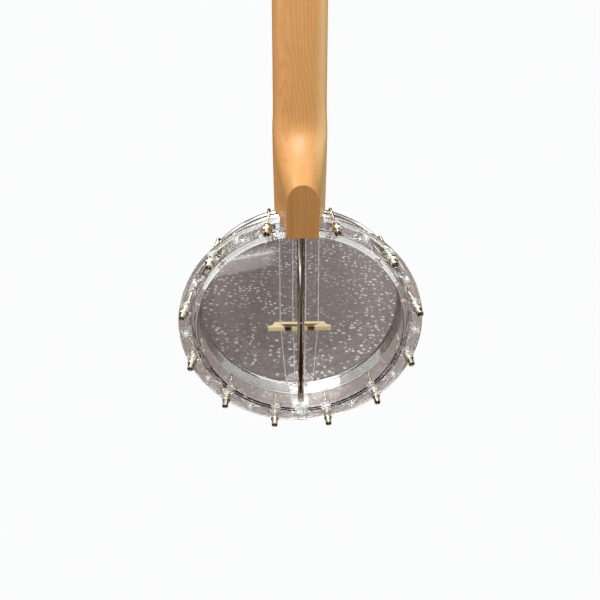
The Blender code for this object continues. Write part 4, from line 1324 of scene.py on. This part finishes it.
def make_floor():
    """White to the eye, and a dark flecked floor seen through the clear parts. Mirrored, it is dark with
    painted reflections. It glows and takes no light or shadow.
    """
    shape = bmesh.new()
    bmesh.ops.create_circle(shape, cap_ends=True, segments=96, radius=9.0)
    shape.transform(Matrix.Translation((0, 0, cad_low.z - 0.001)))
    material, tree, shader, place = new_material("studio_floor", 0.9)
    tree.nodes.remove(shader)
    path = add_node(tree, "ShaderNodeLightPath").outputs
    parts = add_node(tree, "ShaderNodeSeparateXYZ", {"Vector": place}).outputs
    flecked = flecked_floor(tree, place, parts["X"])
    far = smooth_range(tree, parts["Y"], -0.50, -0.95)
    through = blend(tree, 0.5, flecked, (0.46, 0.36, 0.33, 1.0))
    through = blend(tree, far, through, (0.95, 0.97, 0.93, 1.0))
    direct = maths(tree, "LESS_THAN", path["Transparent Depth"], 0.5)
    seen = blend(tree, direct, flecked, WHITE)
    glow = blend(tree, path["Is Camera Ray"], (0.62, 0.61, 0.60, 1.0), seen)
    glow = blend(tree, path["Is Glossy Ray"], glow, floor_painted_reflections(tree, parts["X"], parts["Y"]))
    glow = blend(tree, path["Is Transmission Ray"], glow, through)
    surface = add_node(tree, "ShaderNodeEmission", {"Color": glow}).outputs[0]
    tree.links.new(surface, tree.nodes["Material Output"].inputs["Surface"])
    piece("studio_floor", shape, Matrix.Identity(4), material)


def make_world():
    """White to the eye. Mirrored, it has a dim horizon under bright panels of ceiling."""
    world = bpy.data.worlds.new("studio")
    bpy.context.scene.world = world
    world.use_nodes = True
    tree = world.node_tree
    background = tree.nodes["Background"]
    place = add_node(tree, "ShaderNodeTexCoord").outputs["Generated"]
    height = add_node(tree, "ShaderNodeSeparateXYZ", {"Vector": place}).outputs["Z"]
    walls = ramp(tree, height, [(0.0, (0.05, 0.036, 0.03)), (0.36, (0.075, 0.055, 0.048)),
                                (0.50, (0.85, 0.82, 0.76)), (0.85, 1.6)])
    panels = ramp(tree, noise(tree, place, (3.1, 3.1, 6.0), 1), [(0.44, 0.35), (0.50, 1.9)])
    mirrored = blend(tree, 1.0, walls, panels, "MULTIPLY")
    seen_through = ramp(tree, height, [(0.0, (0.88, 0.90, 0.86)), (0.20, (0.95, 0.96, 0.93)), (0.5, 0.8)])
    path = add_node(tree, "ShaderNodeLightPath").outputs
    colour = blend(tree, path["Is Camera Ray"], (0.54, 0.55, 0.57, 1.0), WHITE)
    colour = blend(tree, path["Is Glossy Ray"], colour, mirrored)
    colour = blend(tree, path["Is Transmission Ray"], colour, seen_through)
    tree.links.new(colour, background.inputs["Color"])


def make_light(name, at, target, size, watts, colour=(1.0, 1.0, 1.0)):
    data = bpy.data.lights.new(name, "AREA")
    data.shape = "RECTANGLE"
    data.size, data.size_y = size
    data.energy = watts
    data.color = colour
    lamp = bpy.data.objects.new(name, data)
    lamp.location = at
    lamp.rotation_euler = (Vector(target) - Vector(at)).to_track_quat("-Z", "Y").to_euler()
    bpy.context.scene.collection.objects.link(lamp)


def make_lights():
    middle = (0, 0, 0.2)
    make_light("ceiling", (0.15, 0.45, 1.8), middle, (1.1, 0.8), 24, (1.0, 0.985, 0.95))
    make_light("left_window", (1.5, 0.7, 0.9), middle, (0.5, 1.4), 6, (1.0, 0.97, 0.93))
    make_light("right_window", (-1.6, 0.2, 0.8), middle, (0.4, 1.2), 5, (0.95, 1.0, 0.95))
    make_light("front_fill", (0.3, -1.6, 1.2), middle, (1.2, 1.0), 8)
    make_light("back_fill", (0.2, 1.5, 0.9), middle, (1.0, 0.8), 2)


def make_camera():
    """Above and behind the pot, looking down its back from a short arm's length."""
    data = bpy.data.cameras.new("camera")
    data.lens = 25.0
    data.sensor_width = 36.0
    data.dof.use_dof = False
    data.clip_start = 0.01
    camera = bpy.data.objects.new("camera", data)
    camera.location = (0.012751, 0.33641, 0.33167)
    camera.rotation_euler = [math.radians(angle) for angle in (59.60011, -0.05826, 177.96054)]
    bpy.context.scene.collection.objects.link(camera)
    bpy.context.scene.camera = camera


def main():
    make_camera()
    finish = make_materials()
    make_rim(finish["rim"])
    make_head(finish["film"])
    make_hoops(finish["hoop"], finish["flesh"])
    make_brackets(finish["hook"], finish["nut"])
    make_neck(finish["maple"])
    make_fingerboard(finish["board"], finish["fret"], finish["pearl"])
    make_string_nut(finish["bone"])
    make_bridge(finish["bridge"])
    make_tailpiece(finish["tailpiece"])
    make_rod(finish["rod"], finish["steel"])
    make_strings(finish["nylon"])
    make_tuners(finish["tuner"], finish["cream"])
    make_floor()
    make_world()
    make_lights()
    bpy.context.scene.view_settings.view_transform = "Standard"


main()
